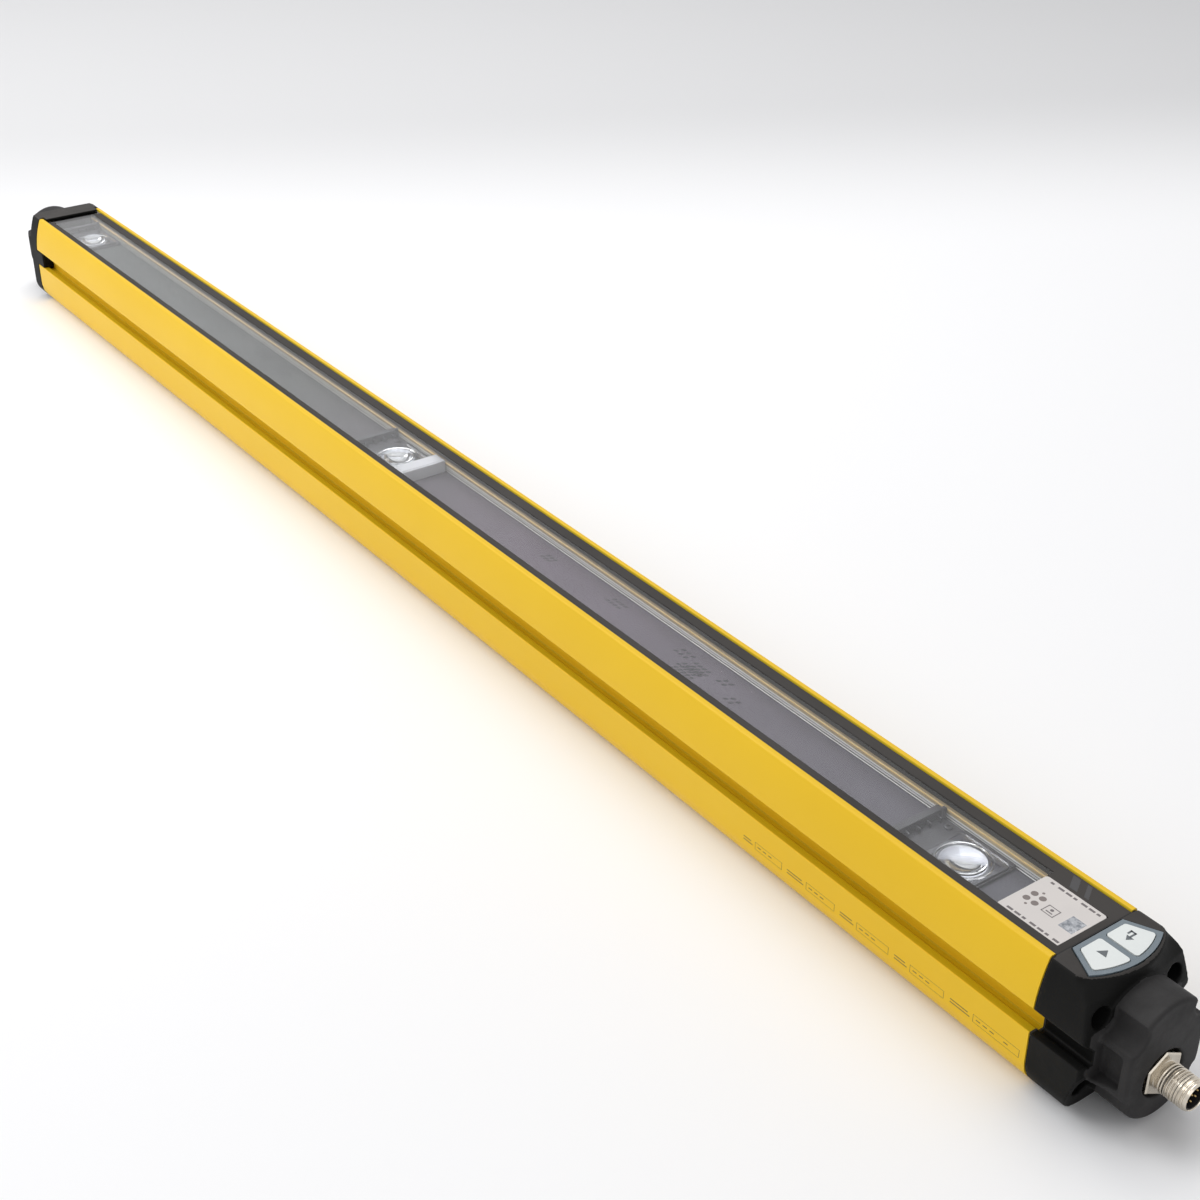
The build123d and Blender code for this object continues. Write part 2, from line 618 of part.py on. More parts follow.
def plug_harness():
    """Sleeved wires from the plug to the socket block on the main board."""
    rear = NEAR_END - HARNESS_INNER_REACH
    front = CAP_FRONT - PLUG_POCKET_DEPTH - PLUG_NECK_LENGTH
    block_top = PLUG_HEIGHT + HARNESS_RADIUS
    half = SOCKET_BLOCK_WIDTH / 2
    block = prism(rectangle(-half, half, BOARD_TOP, block_top + 1), rear - SOCKET_BLOCK_LENGTH, rear)
    centre = max(PLUG_HEIGHT, BOARD_TOP + HARNESS_RADIUS + BOARD_SIDE_CLEARANCE)
    return block + rod(HARNESS_RADIUS, rear, front, 0, centre)


def chassis_tray():
    """Carrier plate under the window with a round hole for each optical module."""
    half = OPTICS_HALF - TRAY_SIDE_CLEARANCE
    tray = prism(rectangle(-half, half, TRAY_BASE, TRAY_TOP), FAR_END, NEAR_END - TRAY_END_SETBACK)
    for x in beam_stations():
        tray -= slab(Pos(x, 0) * Circle(HOLDER_TUBE_RADIUS + TRAY_HOLE_CLEARANCE), TRAY_BASE, TRAY_TOP)
    return tray


def main_board():
    """Long circuit board on the lower ledges."""
    half = ELECTRONICS_HALF - BOARD_SIDE_CLEARANCE
    section = rectangle(-half, half, BOARD_BASE, BOARD_TOP)
    return prism(section, FAR_END + BOARD_END_SETBACK, NEAR_END - BOARD_END_SETBACK)


def beam_stations():
    """Places of the beams along X, evenly spaced, the one nearest to the connector first."""
    pitch = (PROFILE_LENGTH - FIRST_BEAM_SETBACK - LAST_BEAM_SETBACK) / (BEAM_COUNT - 1)
    return [NEAR_END - FIRST_BEAM_SETBACK - index * pitch for index in range(BEAM_COUNT)]


DIODE_BOARD_TOP = BOARD_TOP + DIODE_BOARD_THICKNESS
LENS_BASE = TRAY_TOP + HOLDER_PLATE_THICKNESS
LENS_TOP = LENS_BASE + LENS_PLATE_THICKNESS


def lens_holder(x):
    """Holder of one optical module: plate on the tray, tube down to the diode board and a raised bar."""
    half = OPTICS_HALF - HOLDER_SIDE_CLEARANCE
    bar_front = x - HOLDER_BAR_SETBACK
    plate = rectangle(bar_front, x + HOLDER_FRONT_REACH, -half, half)
    holder = slab(plate, TRAY_TOP, LENS_BASE)
    bar = rectangle(bar_front - HOLDER_BAR_LENGTH, bar_front, -half, half)
    holder += slab(bar, TRAY_TOP, TRAY_TOP + HOLDER_BAR_HEIGHT)
    holder += slab(Pos(x, 0) * Circle(HOLDER_TUBE_RADIUS), DIODE_BOARD_TOP, TRAY_TOP)
    bore = Pos(x, 0) * Circle(HOLDER_TUBE_RADIUS - HOLDER_TUBE_WALL)
    return holder - slab(bore, DIODE_BOARD_TOP, LENS_BASE)


def lens(x):
    """Clear moulded lens: square plate, raised ring and dome."""
    half = LENS_PLATE_SIZE / 2
    plate = slab(rectangle(x - half, x + half, -half, half), LENS_BASE, LENS_TOP)
    ring = Circle(LENS_RING_RADIUS) - Circle(LENS_RING_RADIUS - LENS_RING_WIDTH)
    sphere_radius = (LENS_DOME_RADIUS ** 2 + LENS_DOME_RISE ** 2) / (2 * LENS_DOME_RISE)
    ball = Pos(x, 0, LENS_TOP + LENS_DOME_RISE - sphere_radius) * Sphere(sphere_radius)
    dome = ball & slab(Pos(x, 0) * Circle(LENS_RING_RADIUS), LENS_TOP, LENS_TOP + 2 * LENS_DOME_RISE)
    return plate + slab(Pos(x, 0) * ring, LENS_TOP, LENS_TOP + LENS_RING_HEIGHT) + dome


def diode_board(x):
    """Small board on the main board that carries one diode."""
    return slab(Pos(x, 0) * Rectangle(DIODE_BOARD_SIZE, DIODE_BOARD_SIZE), BOARD_TOP, DIODE_BOARD_TOP)


def diode(x):
    """Light diode in the axis of its lens, with a round nose."""
    body_top = DIODE_BOARD_TOP + DIODE_HEIGHT
    body = slab(Pos(x, 0) * Circle(DIODE_RADIUS), DIODE_BOARD_TOP, body_top)
    return body + Pos(x, 0, body_top) * Sphere(DIODE_RADIUS, arc_size1=0)


def light_guide():
    """Milky block beside the middle lens."""
    rear = beam_stations()[BEAM_COUNT // 2] + LIGHT_GUIDE_SETBACK
    half = OPTICS_HALF - HOLDER_SIDE_CLEARANCE
    plan = rectangle(rear, rear + LIGHT_GUIDE_LENGTH, -half, half)
    return slab(plan, TRAY_TOP, TRAY_TOP + LIGHT_GUIDE_HEIGHT)


def status_display():
    """Seven-segment display block on the tray beside the window's edge."""
    front = NEAR_END - DISPLAY_SETBACK
    outer = OPTICS_HALF - HOLDER_SIDE_CLEARANCE
    plan = rectangle(front - DISPLAY_LENGTH, front, outer - DISPLAY_WIDTH, outer)
    return slab(plan, TRAY_TOP, TRAY_TOP + DISPLAY_HEIGHT)


def window_label():
    """Plain sticker on the window next to the keypad."""
    front = NEAR_END - LABEL_SETBACK
    half = LABEL_WIDTH / 2
    plan = rectangle(front - LABEL_LENGTH, front, LABEL_OFFSET - half, LABEL_OFFSET + half)
    return slab(plan, WINDOW_TOP, WINDOW_TOP + LABEL_THICKNESS)


def far_end_cap():
    """Moulded cap at the far end: flange, lip over the window, lugs in the grooves and the boss."""
    front = FAR_END - FAR_FLANGE_REACH
    crown = FAR_CROWN_WIDTH / 2
    shoulder = RIDGE_WIDTH / 2
    section = housing_outline() + polygon(
        (-shoulder, PROFILE_DEPTH - RIDGE_EDGE_RADIUS), (shoulder, PROFILE_DEPTH - RIDGE_EDGE_RADIUS),
        (crown, FAR_CAP_TOP), (-crown, FAR_CAP_TOP))
    cap = prism(section, front, FAR_CAP_REAR)
    lip_half = WINDOW_OPENING / 2 - FAR_LIP_CLEARANCE
    lip = rectangle(-lip_half, lip_half, WINDOW_TOP, FAR_CAP_TOP)
    cap += prism(lip, FAR_CAP_REAR, FAR_END + FAR_LIP_LENGTH)
    cap += both_sides(prism(groove_lug(), FAR_CAP_REAR, FAR_END + LUG_LENGTH))
    boss = swivel_boss(-FAR_CAP_REAR, -front, -FAR_CAP_FRONT)
    boss -= prism(port_circles(SCREW_POCKET_RADIUS), -front, -FAR_CAP_FRONT + CUT_MARGIN)
    cap += mirror(boss, about=Plane.YZ)
    passages = screw_passages(-FAR_CAP_REAR + FAR_FLANGE_REACH / 2, -FAR_CAP_REAR, -FAR_CAP_FRONT)
    return cap - mirror(passages, about=Plane.YZ)


def groove_lug():
    """Section of the lug that closes the right-hand side groove at the far cap."""
    return side_groove(LUG_CLEARANCE) & housing_outline()


def write_parts(parts):
    """Write each node to its own file."""
    os.makedirs("parts", exist_ok=True)
    for name, shape in parts.items():
        export_step(shape, f"parts/{name}.step")


def all_parts():
    """Every node by name."""
    far_seat = -FAR_CAP_REAR + FAR_FLANGE_REACH / 2
    parts = {
        "housing_profile": housing_profile(),
        "front_window": front_window(),
        "window_bond_left": window_bond(1),
        "window_bond_right": window_bond(-1),
        "chassis_tray": chassis_tray(),
        "main_board": main_board(),
        "connector_cap": connector_cap(),
        "connector_cap_seal": end_seal(NEAR_END, CAP_REAR, CAP_TOP),
        "connector_cap_screws": cap_screws(NEAR_END + SCREW_SEAT_REACH, NEAR_END),
        "keypad_frame": keypad_frame(),
        "select_key": keypad_key(-1),
        "confirm_key": keypad_key(1),
        "key_board": key_board(),
        "key_switches": key_switches(),
        "keypad_flex": keypad_flex(),
        "plug_shell": plug_shell(),
        "plug_insert": plug_insert(),
        "plug_pins": plug_pins(),
        "plug_seal": plug_seal(),
        "plug_harness": plug_harness(),
        "far_end_cap": far_end_cap(),
        "far_cap_seal": end_seal(FAR_CAP_REAR, FAR_END, WINDOW_TOP),
        "far_cap_screws": mirror(cap_screws(far_seat, -FAR_END), about=Plane.YZ),
        "light_guide": light_guide(),
        "status_display": status_display(),
        "window_label": window_label(),
    }
    for index, x in enumerate(beam_stations(), start=1):
        parts[f"lens_holder_{index}"] = lens_holder(x)
        parts[f"lens_{index}"] = lens(x)
        parts[f"diode_board_{index}"] = diode_board(x)
        parts[f"diode_{index}"] = diode(x)
    return parts


write_parts(all_parts())
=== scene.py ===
"""Looks of a three-beam safety light barrier that lies on its rear face, keypad and plug towards +X."""

from __future__ import annotations

import logging
import math
from collections.abc import Callable, Iterable, Sequence
from dataclasses import dataclass, field
from enum import Enum, IntEnum

import bmesh
import bpy
from mathutils import Matrix, Vector


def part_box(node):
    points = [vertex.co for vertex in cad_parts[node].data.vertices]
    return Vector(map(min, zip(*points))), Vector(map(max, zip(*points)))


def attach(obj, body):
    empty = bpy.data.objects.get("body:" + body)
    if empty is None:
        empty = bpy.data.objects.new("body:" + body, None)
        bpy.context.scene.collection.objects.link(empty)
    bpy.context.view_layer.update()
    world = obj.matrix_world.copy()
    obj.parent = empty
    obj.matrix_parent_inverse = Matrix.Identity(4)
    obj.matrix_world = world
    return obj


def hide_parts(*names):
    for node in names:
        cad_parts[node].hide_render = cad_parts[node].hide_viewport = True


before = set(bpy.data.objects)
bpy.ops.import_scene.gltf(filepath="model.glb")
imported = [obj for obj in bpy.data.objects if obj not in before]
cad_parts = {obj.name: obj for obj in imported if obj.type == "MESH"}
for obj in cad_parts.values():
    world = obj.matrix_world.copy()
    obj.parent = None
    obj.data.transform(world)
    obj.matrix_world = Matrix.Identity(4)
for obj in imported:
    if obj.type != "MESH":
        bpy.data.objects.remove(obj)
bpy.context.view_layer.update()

LOG = logging.getLogger("light_barrier")
MM = 0.001
Point2 = tuple[float, float]
Point3 = tuple[float, float, float]
RGB = tuple[float, float, float]
Ring = tuple[float, float, int]

TINY = 1e-6
SMOOTH_ANGLE = 32.0
LARGEST_ROUND = 0.48
LARGEST_BEVEL = 0.45
COARSE_SHARE = 0.23
DRAWN_STRETCH = (0.004, 1.0, 1.0)
DUSTY_SHARE = 0.12
DUST_COLOUR = (0.75, 0.74, 0.72, 1.0)
DUST_SCALE = 260.0
LINE_SCALE = 1400.0
RELIEF_DISTANCE = 0.00012
RIPPLE_DISTANCE = 0.0001
RIPPLE_SCALE = 60.0
COAT_ROUGHNESS = 0.08
# Level and tilt above which a cap's faces take the painted sheen.
CROWN_LEVEL = 0.0535
CROWN_TILT = 0.8


class Body(Enum):
    """The rigid bodies that pieces ride on."""

    BARRIER = "barrier"
    SELECT_KEY = "select_key_body"
    CONFIRM_KEY = "confirm_key_body"


class Along(Enum):
    """Direction in which a turned shape's profile runs."""

    LENGTHWISE = "+X"
    TO_FAR_END = "-X"
    UPWARDS = "+Z"


class HousingFace(IntEnum):
    """The housing's surfaces, in the order of their finishes."""

    COAT = 0
    DARK_WALL = 1
    TAN_WALL = 2
    PALE_WALL = 3
    GREY_WALL = 4
    # Painted shade: darker yellow in the side groove's hollow and on the ridge's inner wall.
    GROOVE = 5


class CapFace(IntEnum):
    """An end cap's surfaces, in the order of their finishes."""

    SIDES = 0
    # Painted sheen on the level top.
    CROWN = 1
    BOSS = 2


def srgb(red: int, green: int, blue: int) -> RGB:
    """Turn an 8-bit display colour into the linear colour that shaders take.

    Args:
        red: Red from 0 to 255.
        green: Green from 0 to 255.
        blue: Blue from 0 to 255.

    Returns:
        The linear colour.
    """

    def linear(value: int) -> float:
        """One channel's linear value."""
        share = value / 255
        return share / 12.92 if share <= 0.04045 else ((share + 0.055) / 1.055) ** 2.4

    return linear(red), linear(green), linear(blue)


# Shader groups that several finishes share


class ShaderGroup:
    """A shader node group under construction, with named inputs and outputs."""

    def __init__(self, name: str) -> None:
        """Start an empty group.

        Args:
            name: The group's name.
        """
        self.tree = bpy.data.node_groups.new(name, "ShaderNodeTree")
        self.source = self.tree.nodes.new("NodeGroupInput")
        self.result = self.tree.nodes.new("NodeGroupOutput")

    def take(self, name: str, kind: str, default: object) -> bpy.types.NodeSocket:
        """Add a named input.

        Args:
            name: The socket's name.
            kind: The socket's type, such as NodeSocketFloat.
            default: The value it starts with.

        Returns:
            The socket to wire from.
        """
        item = self.tree.interface.new_socket(name=name, in_out="INPUT", socket_type=kind)
        item.default_value = default
        return self.source.outputs[name]

    def give(self, name: str, kind: str, socket: bpy.types.NodeSocket) -> None:
        """Add a named output that carries a socket's value.

        Args:
            name: The output's name.
            kind: The socket's type.
            socket: What the output carries.
        """
        self.tree.interface.new_socket(name=name, in_out="OUTPUT", socket_type=kind)
        self.tree.links.new(socket, self.result.inputs[name])

    def node(self, kind: str, inputs: dict[str, object] | None = None, **settings: object) -> bpy.types.Node:
        """Add a node.

        Args:
            kind: The node's type.
            inputs: Values or sockets for its inputs, by name or index.
            **settings: Properties to set on the node.

        Returns:
            The node.
        """
        return add_node(self.tree, kind, inputs, **settings)


def add_node(
    tree: bpy.types.NodeTree, kind: str, inputs: dict[str | int, object] | None = None, **settings: object
) -> bpy.types.Node:
    """Add a node to a tree, set its properties and fill or wire its inputs.

    Args:
        tree: The tree to add to.
        kind: The node's type.
        inputs: Values or sockets for its inputs, by name or index.
        **settings: Properties to set on the node.

    Returns:
        The node.
    """
    node = tree.nodes.new(kind)
    for key, value in settings.items():
        setattr(node, key, value)
    for key, value in (inputs or {}).items():
        if isinstance(value, bpy.types.NodeSocket):
            tree.links.new(value, node.inputs[key])
        else:
            node.inputs[key].default_value = value
    return node


def uneven_tone_group() -> bpy.types.NodeTree:
    """Build the group that mixes a second tone into a surface in soft patches.

    Returns:
        The group, with outputs Color and Mask.
    """
    group = ShaderGroup("uneven_tone")
    first = group.take("First", "NodeSocketColor", (0.8, 0.8, 0.8, 1.0))
    second = group.take("Second", "NodeSocketColor", (0.7, 0.7, 0.7, 1.0))
    scale = group.take("Scale", "NodeSocketFloat", 20.0)
    amount = group.take("Amount", "NodeSocketFloat", 0.5)
    place = group.node("ShaderNodeTexCoord").outputs["Object"]
    patches = group.node("ShaderNodeTexNoise", {
        "Vector": place, "Scale": scale, "Detail": 4.0, "Roughness": 0.6})
    spread = group.node("ShaderNodeMapRange", {
        "Value": patches.outputs["Fac"], "From Min": 0.35, "From Max": 0.65, "To Max": amount})
    mix = group.node("ShaderNodeMix", {0: spread.outputs["Result"], 6: first, 7: second}, data_type="RGBA")
    group.give("Color", "NodeSocketColor", mix.outputs[2])
    group.give("Mask", "NodeSocketFloat", spread.outputs["Result"])
    return group.tree


def fine_grain_group() -> bpy.types.NodeTree:
    """Build the group for a fine relief, as on powder coat or moulded plastic.

    Returns:
        The group, with output Height.
    """
    group = ShaderGroup("fine_grain")
    scale = group.take("Scale", "NodeSocketFloat", 1500.0)
    depth = group.take("Depth", "NodeSocketFloat", 1.0)
    place = group.node("ShaderNodeTexCoord").outputs["Object"]
    pebbles = group.node("ShaderNodeTexNoise", {
        "Vector": place, "Scale": scale, "Detail": 2.0, "Roughness": 0.5})
    coarse = group.node("ShaderNodeMath", {0: scale, 1: COARSE_SHARE}, operation="MULTIPLY")
    waves = group.node("ShaderNodeTexNoise", {"Vector": place, "Scale": coarse.outputs[0], "Detail": 1.0})
    total = group.node("ShaderNodeMath", {
        0: pebbles.outputs["Fac"], 1: waves.outputs["Fac"]}, operation="ADD")
    height = group.node("ShaderNodeMath", {0: total.outputs[0], 1: depth}, operation="MULTIPLY")
    group.give("Height", "NodeSocketFloat", height.outputs[0])
    return group.tree


def drawn_lines_group() -> bpy.types.NodeTree:
    """Build the group for lines along X that drawing or brushing leaves in metal.

    Returns:
        The group, with output Lines.
    """
    group = ShaderGroup("drawn_lines")
    scale = group.take("Scale", "NodeSocketFloat", 900.0)
    place = group.node("ShaderNodeTexCoord").outputs["Object"]
    long = group.node("ShaderNodeMapping", {"Vector": place, "Scale": DRAWN_STRETCH})
    lines = group.node("ShaderNodeTexNoise", {"Vector": long.outputs[0], "Scale": scale, "Detail": 3.0})
    group.give("Lines", "NodeSocketFloat", lines.outputs["Fac"])
    return group.tree


def dust_group() -> bpy.types.NodeTree:
    """Build the group for scattered specks of dust.

    Returns:
        The group, with output Mask.
    """
    group = ShaderGroup("dust_specks")
    scale = group.take("Scale", "NodeSocketFloat", 400.0)
    amount = group.take("Amount", "NodeSocketFloat", 0.08)
    place = group.node("ShaderNodeTexCoord").outputs["Object"]
    cells = group.node("ShaderNodeTexVoronoi", {"Vector": place, "Scale": scale, "Randomness": 1.0})
    size = group.node("ShaderNodeMath", {0: cells.outputs["Distance"], 1: amount}, operation="LESS_THAN")
    pick = group.node("ShaderNodeSeparateColor", {"Color": cells.outputs["Color"]})
    few = group.node("ShaderNodeMath", {0: pick.outputs[0], 1: DUSTY_SHARE}, operation="LESS_THAN")
    both = group.node("ShaderNodeMath", {0: size.outputs[0], 1: few.outputs[0]}, operation="MULTIPLY")
    group.give("Mask", "NodeSocketFloat", both.outputs[0])
    return group.tree


SHADER_GROUPS: dict[str, bpy.types.NodeTree] = {
    "tone": uneven_tone_group(),
    "grain": fine_grain_group(),
    "lines": drawn_lines_group(),
    "dust": dust_group(),
}


def built_material(
    name: str, surface: Callable[[bpy.types.NodeTree], bpy.types.Node]
) -> bpy.types.Material:
    """Build a material round a shader, or return it if it is there already.

    Args:
        name: The material's name.
        surface: What adds the shader to the material's tree.

    Returns:
        The material.
    """
    known = bpy.data.materials.get(name)
    if known is not None:
        return known
    made = bpy.data.materials.new(name)
    made.use_nodes = True
    tree = made.node_tree
    tree.nodes.clear()
    out = tree.nodes.new("ShaderNodeOutputMaterial")
    tree.links.new(surface(tree).outputs[0], out.inputs["Surface"])
    return made


@dataclass(frozen=True)
class Finish:
    """A surface with slightly uneven colour and gloss and a fine relief."""

    name: str
    colour: RGB
    second: RGB
    roughness: float = 0.5
    roughness_spread: float = 0.08
    metallic: float = 0.0
    shine: float = 0.5
    coat: float = 0.0
    patch_scale: float = 25.0
    patch_amount: float = 0.6
    grain_scale: float = 1500.0
    grain_depth: float = 0.2
    line_amount: float = 0.0
    dust_amount: float = 0.0

    def material(self) -> bpy.types.Material:
        """This finish's material, built when it is first asked for."""
        return built_material(self.name, self.shader)

    def shader(self, tree: bpy.types.NodeTree) -> bpy.types.Node:
        """Add this finish's shader to a material.

        Args:
            tree: The material's tree.

        Returns:
            The shader node.
        """
        tone = self.group(tree, "tone", {
            "First": (*self.colour, 1.0), "Second": (*self.second, 1.0),
            "Scale": self.patch_scale, "Amount": self.patch_amount,
        })
        colour = tone.outputs["Color"]
        gloss = tone.outputs["Mask"]
        grain = self.group(tree, "grain", {"Scale": self.grain_scale, "Depth": 1.0})
        relief = grain.outputs["Height"]
        if self.line_amount:
            lines = self.group(tree, "lines", {"Scale": LINE_SCALE}).outputs["Lines"]
            darker = add_node(tree, "ShaderNodeMapRange", {
                "Value": lines, "From Min": 0.3, "From Max": 0.7,
                "To Min": 1.0 - self.line_amount, "To Max": 1.0})
            shade = add_node(tree, "ShaderNodeMix", {0: 1.0, 6: colour, 7: darker.outputs[0]},
                             data_type="RGBA", blend_type="MULTIPLY")
            colour, gloss, relief = shade.outputs[2], lines, lines
        if self.dust_amount:
            specks = self.group(tree, "dust", {"Scale": DUST_SCALE, "Amount": self.dust_amount})
            dusty = add_node(tree, "ShaderNodeMix", {0: specks.outputs["Mask"], 6: colour, 7: DUST_COLOUR},
                             data_type="RGBA")
            colour = dusty.outputs[2]
        rough = add_node(tree, "ShaderNodeMapRange", {
            "Value": gloss, "To Min": self.roughness,
            "To Max": min(1.0, self.roughness + self.roughness_spread)})
        bump = add_node(tree, "ShaderNodeBump", {
            "Height": relief, "Strength": self.grain_depth, "Distance": RELIEF_DISTANCE})
        return add_node(tree, "ShaderNodeBsdfPrincipled", {
            "Base Color": colour, "Roughness": rough.outputs[0], "Normal": bump.outputs[0],
            "Metallic": self.metallic, "Specular IOR Level": self.shine, "Coat Weight": self.coat,
            "Coat Roughness": COAT_ROUGHNESS})

    @staticmethod
    def group(tree: bpy.types.NodeTree, key: str, inputs: dict[str, object]) -> bpy.types.Node:
        """Place a shared group in a material.

        Args:
            tree: The material's tree.
            key: Which shared group.
            inputs: Its values in this material.

        Returns:
            The group's node.
        """
        node = tree.nodes.new("ShaderNodeGroup")
        node.node_tree = SHADER_GROUPS[key]
        for name, value in inputs.items():
            node.inputs[name].default_value = value
        return node


@dataclass(frozen=True)
class ReflectionTintFinish(Finish):
    """A finish with a painted reflection: its colour is tinted along X, darker towards the far end, for the
    window's coloured reflection over the tray and the channel walls.
    """

    reflection_stops: tuple[tuple[float, RGB], ...] = ()
    start: float = -0.45
    end: float = 0.45

    def shader(self, tree: bpy.types.NodeTree) -> bpy.types.Node:
        """Add the plain finish's shader and tint it along X with the painted reflection.

        Args:
            tree: The material's tree.

        Returns:
            The shader node.
        """
        shader = super().shader(tree)
        plain = shader.inputs["Base Color"].links[0].from_socket
        place = add_node(tree, "ShaderNodeTexCoord").outputs["Object"]
        split = add_node(tree, "ShaderNodeSeparateXYZ", {0: place})
        share = add_node(tree, "ShaderNodeMapRange", {
            "Value": split.outputs["X"], "From Min": self.start, "From Max": self.end})
        ramp = add_node(tree, "ShaderNodeValToRGB", {"Fac": share.outputs[0]})
        ends = ramp.color_ramp.elements
        while len(ends) < len(self.reflection_stops):
            ends.new(0.5)
        for element, (position, colour) in zip(ends, self.reflection_stops):
            element.position = position
            element.color = (*colour, 1.0)
        # Painted reflection: the plain colour times the tint along X.
        reflection_tinted = add_node(tree, "ShaderNodeMix", {0: 1.0, 6: plain, 7: ramp.outputs[0]},
                          data_type="RGBA", blend_type="MULTIPLY")
        tree.links.new(reflection_tinted.outputs[2], shader.inputs["Base Color"])
        return shader


@dataclass(frozen=True)
class ClearFinish:
    """Clear glass or plastic that lets the lamps through to what is behind it."""

    name: str
    tint: RGB = (1.0, 1.0, 1.0)
    roughness: float = 0.01
    bend: float = 1.5
    ripple: float = 0.02

    def material(self) -> bpy.types.Material:
        """This finish's material, built when it is first asked for."""
        return built_material(self.name, self.shader)

    def shader(self, tree: bpy.types.NodeTree) -> bpy.types.Node:
        """Add the glass, which is plainly open to the lamps' shadow rays.

        Args:
            tree: The material's tree.

        Returns:
            The node that mixes both.
        """
        relief = Finish.group(tree, "grain", {"Scale": RIPPLE_SCALE, "Depth": 1.0}).outputs["Height"]
        bump = add_node(tree, "ShaderNodeBump", {
            "Height": relief, "Strength": self.ripple, "Distance": RIPPLE_DISTANCE})
        glass = add_node(tree, "ShaderNodeBsdfPrincipled", {
            "Base Color": (*self.tint, 1.0), "Roughness": self.roughness, "IOR": self.bend,
            "Transmission Weight": 1.0, "Normal": bump.outputs[0]})
        open_way = add_node(tree, "ShaderNodeBsdfTransparent", {"Color": (*self.tint, 1.0)})
        path = add_node(tree, "ShaderNodeLightPath")
        return add_node(tree, "ShaderNodeMixShader", {
            0: path.outputs["Is Shadow Ray"], 1: glass.outputs[0], 2: open_way.outputs[0]})


YELLOW_COAT = Finish("yellow_powder_coat", srgb(235, 192, 35), srgb(229, 185, 31), 0.38, 0.1, shine=0.22,
                     patch_scale=9.0, patch_amount=0.5, grain_scale=2400.0, grain_depth=0.1)
# Painted shade: a darker, duller yellow for the side groove's hollow and the ridge's inner wall, where shade
# falls.
GROOVE_PAINTED_SHADE = Finish("groove_coat", srgb(192, 164, 22), srgb(182, 155, 18), 0.5, 0.1, shine=0.15,
                     patch_scale=12.0, patch_amount=0.5, grain_scale=2400.0, grain_depth=0.1)
# Painted reflection: tint along X, darker towards the far end, for the window's reflection over the channel's
# step and foot.
INNER_REFLECTION_STOPS = ((0.0, srgb(146, 150, 142)), (0.4, srgb(190, 189, 182)), (0.72, srgb(255, 252, 252)),
               (1.0, srgb(240, 241, 244)))
# Painted reflection: tint along X on the channel's wall, darker towards the far end.
WALL_TAN = ReflectionTintFinish("channel_wall", srgb(181, 160, 118), srgb(166, 147, 110), 0.45, 0.2,
                            patch_scale=14.0, grain_depth=0.08, line_amount=0.2,
                            reflection_stops=((0.0, srgb(186, 178, 180)), (0.35, srgb(190, 182, 184)),
                                   (0.7, srgb(226, 222, 224)), (1.0, srgb(250, 250, 252))))
GOLD_BEAD = Finish("gold_bead", srgb(206, 172, 104), srgb(190, 158, 96), 0.4, 0.1, patch_scale=30.0,
                   grain_depth=0.06)
WALL_LINE = Finish("wall_line", srgb(84, 82, 84), srgb(74, 72, 75), 0.5, 0.1, patch_scale=30.0,
                   grain_depth=0.05)
# Painted reflection along X on the channel's step and foot as well.
WALL_PALE = ReflectionTintFinish("channel_step", srgb(226, 223, 220), srgb(216, 213, 211), 0.35, 0.2,
                             patch_scale=20.0, grain_depth=0.08, line_amount=0.12, reflection_stops=INNER_REFLECTION_STOPS)
WALL_GREY = ReflectionTintFinish("channel_foot", srgb(84, 82, 84), srgb(74, 72, 75), 0.4, 0.2, patch_scale=20.0,
                             grain_depth=0.15, line_amount=0.3, reflection_stops=INNER_REFLECTION_STOPS)
BOND = Finish("bonding_strip", srgb(62, 59, 57), srgb(54, 52, 50), 0.62, 0.15, shine=0.2, patch_scale=18.0,
              grain_scale=900.0, grain_depth=0.06)
# Painted reflection: the tray's tint along X, greener at the far end and purple in the middle, stands in for
# the window's coloured reflection.
TRAY = ReflectionTintFinish("tray_paint", srgb(96, 95, 100), srgb(84, 83, 88), 0.5, 0.12, shine=0.22,
                        patch_scale=16.0, patch_amount=0.7, grain_scale=1200.0, grain_depth=0.04,
                        dust_amount=0.05,
                        reflection_stops=((0.0, srgb(158, 170, 161)), (0.35, srgb(192, 196, 184)),
                               (0.62, srgb(240, 210, 232)), (1.0, srgb(224, 226, 233))))
TRAY_SMUDGE = Finish("tray_smudge", srgb(38, 36, 40), srgb(50, 48, 52), 0.5, 0.1, shine=0.08,
                     patch_scale=300.0, patch_amount=1.0, grain_depth=0.05)
CAP_PLASTIC = Finish("cap_plastic", srgb(20, 20, 19), srgb(15, 15, 14), 0.5, 0.14, shine=0.1,
                     patch_scale=45.0, grain_scale=2600.0, grain_depth=0.35)
# Painted sheen: paler plastic for a cap's level top, lit by the lamps above.
CROWN_SHEEN = Finish("cap_crown", srgb(58, 55, 53), srgb(50, 48, 46), 0.55, 0.14, shine=0.2,
                       patch_scale=45.0, grain_scale=2600.0, grain_depth=0.35)
BOSS_PLASTIC = Finish("boss_plastic", srgb(54, 53, 53), srgb(44, 43, 43), 0.62, 0.14, shine=0.2,
                      patch_scale=60.0, patch_amount=0.9, grain_scale=2000.0, grain_depth=0.5)
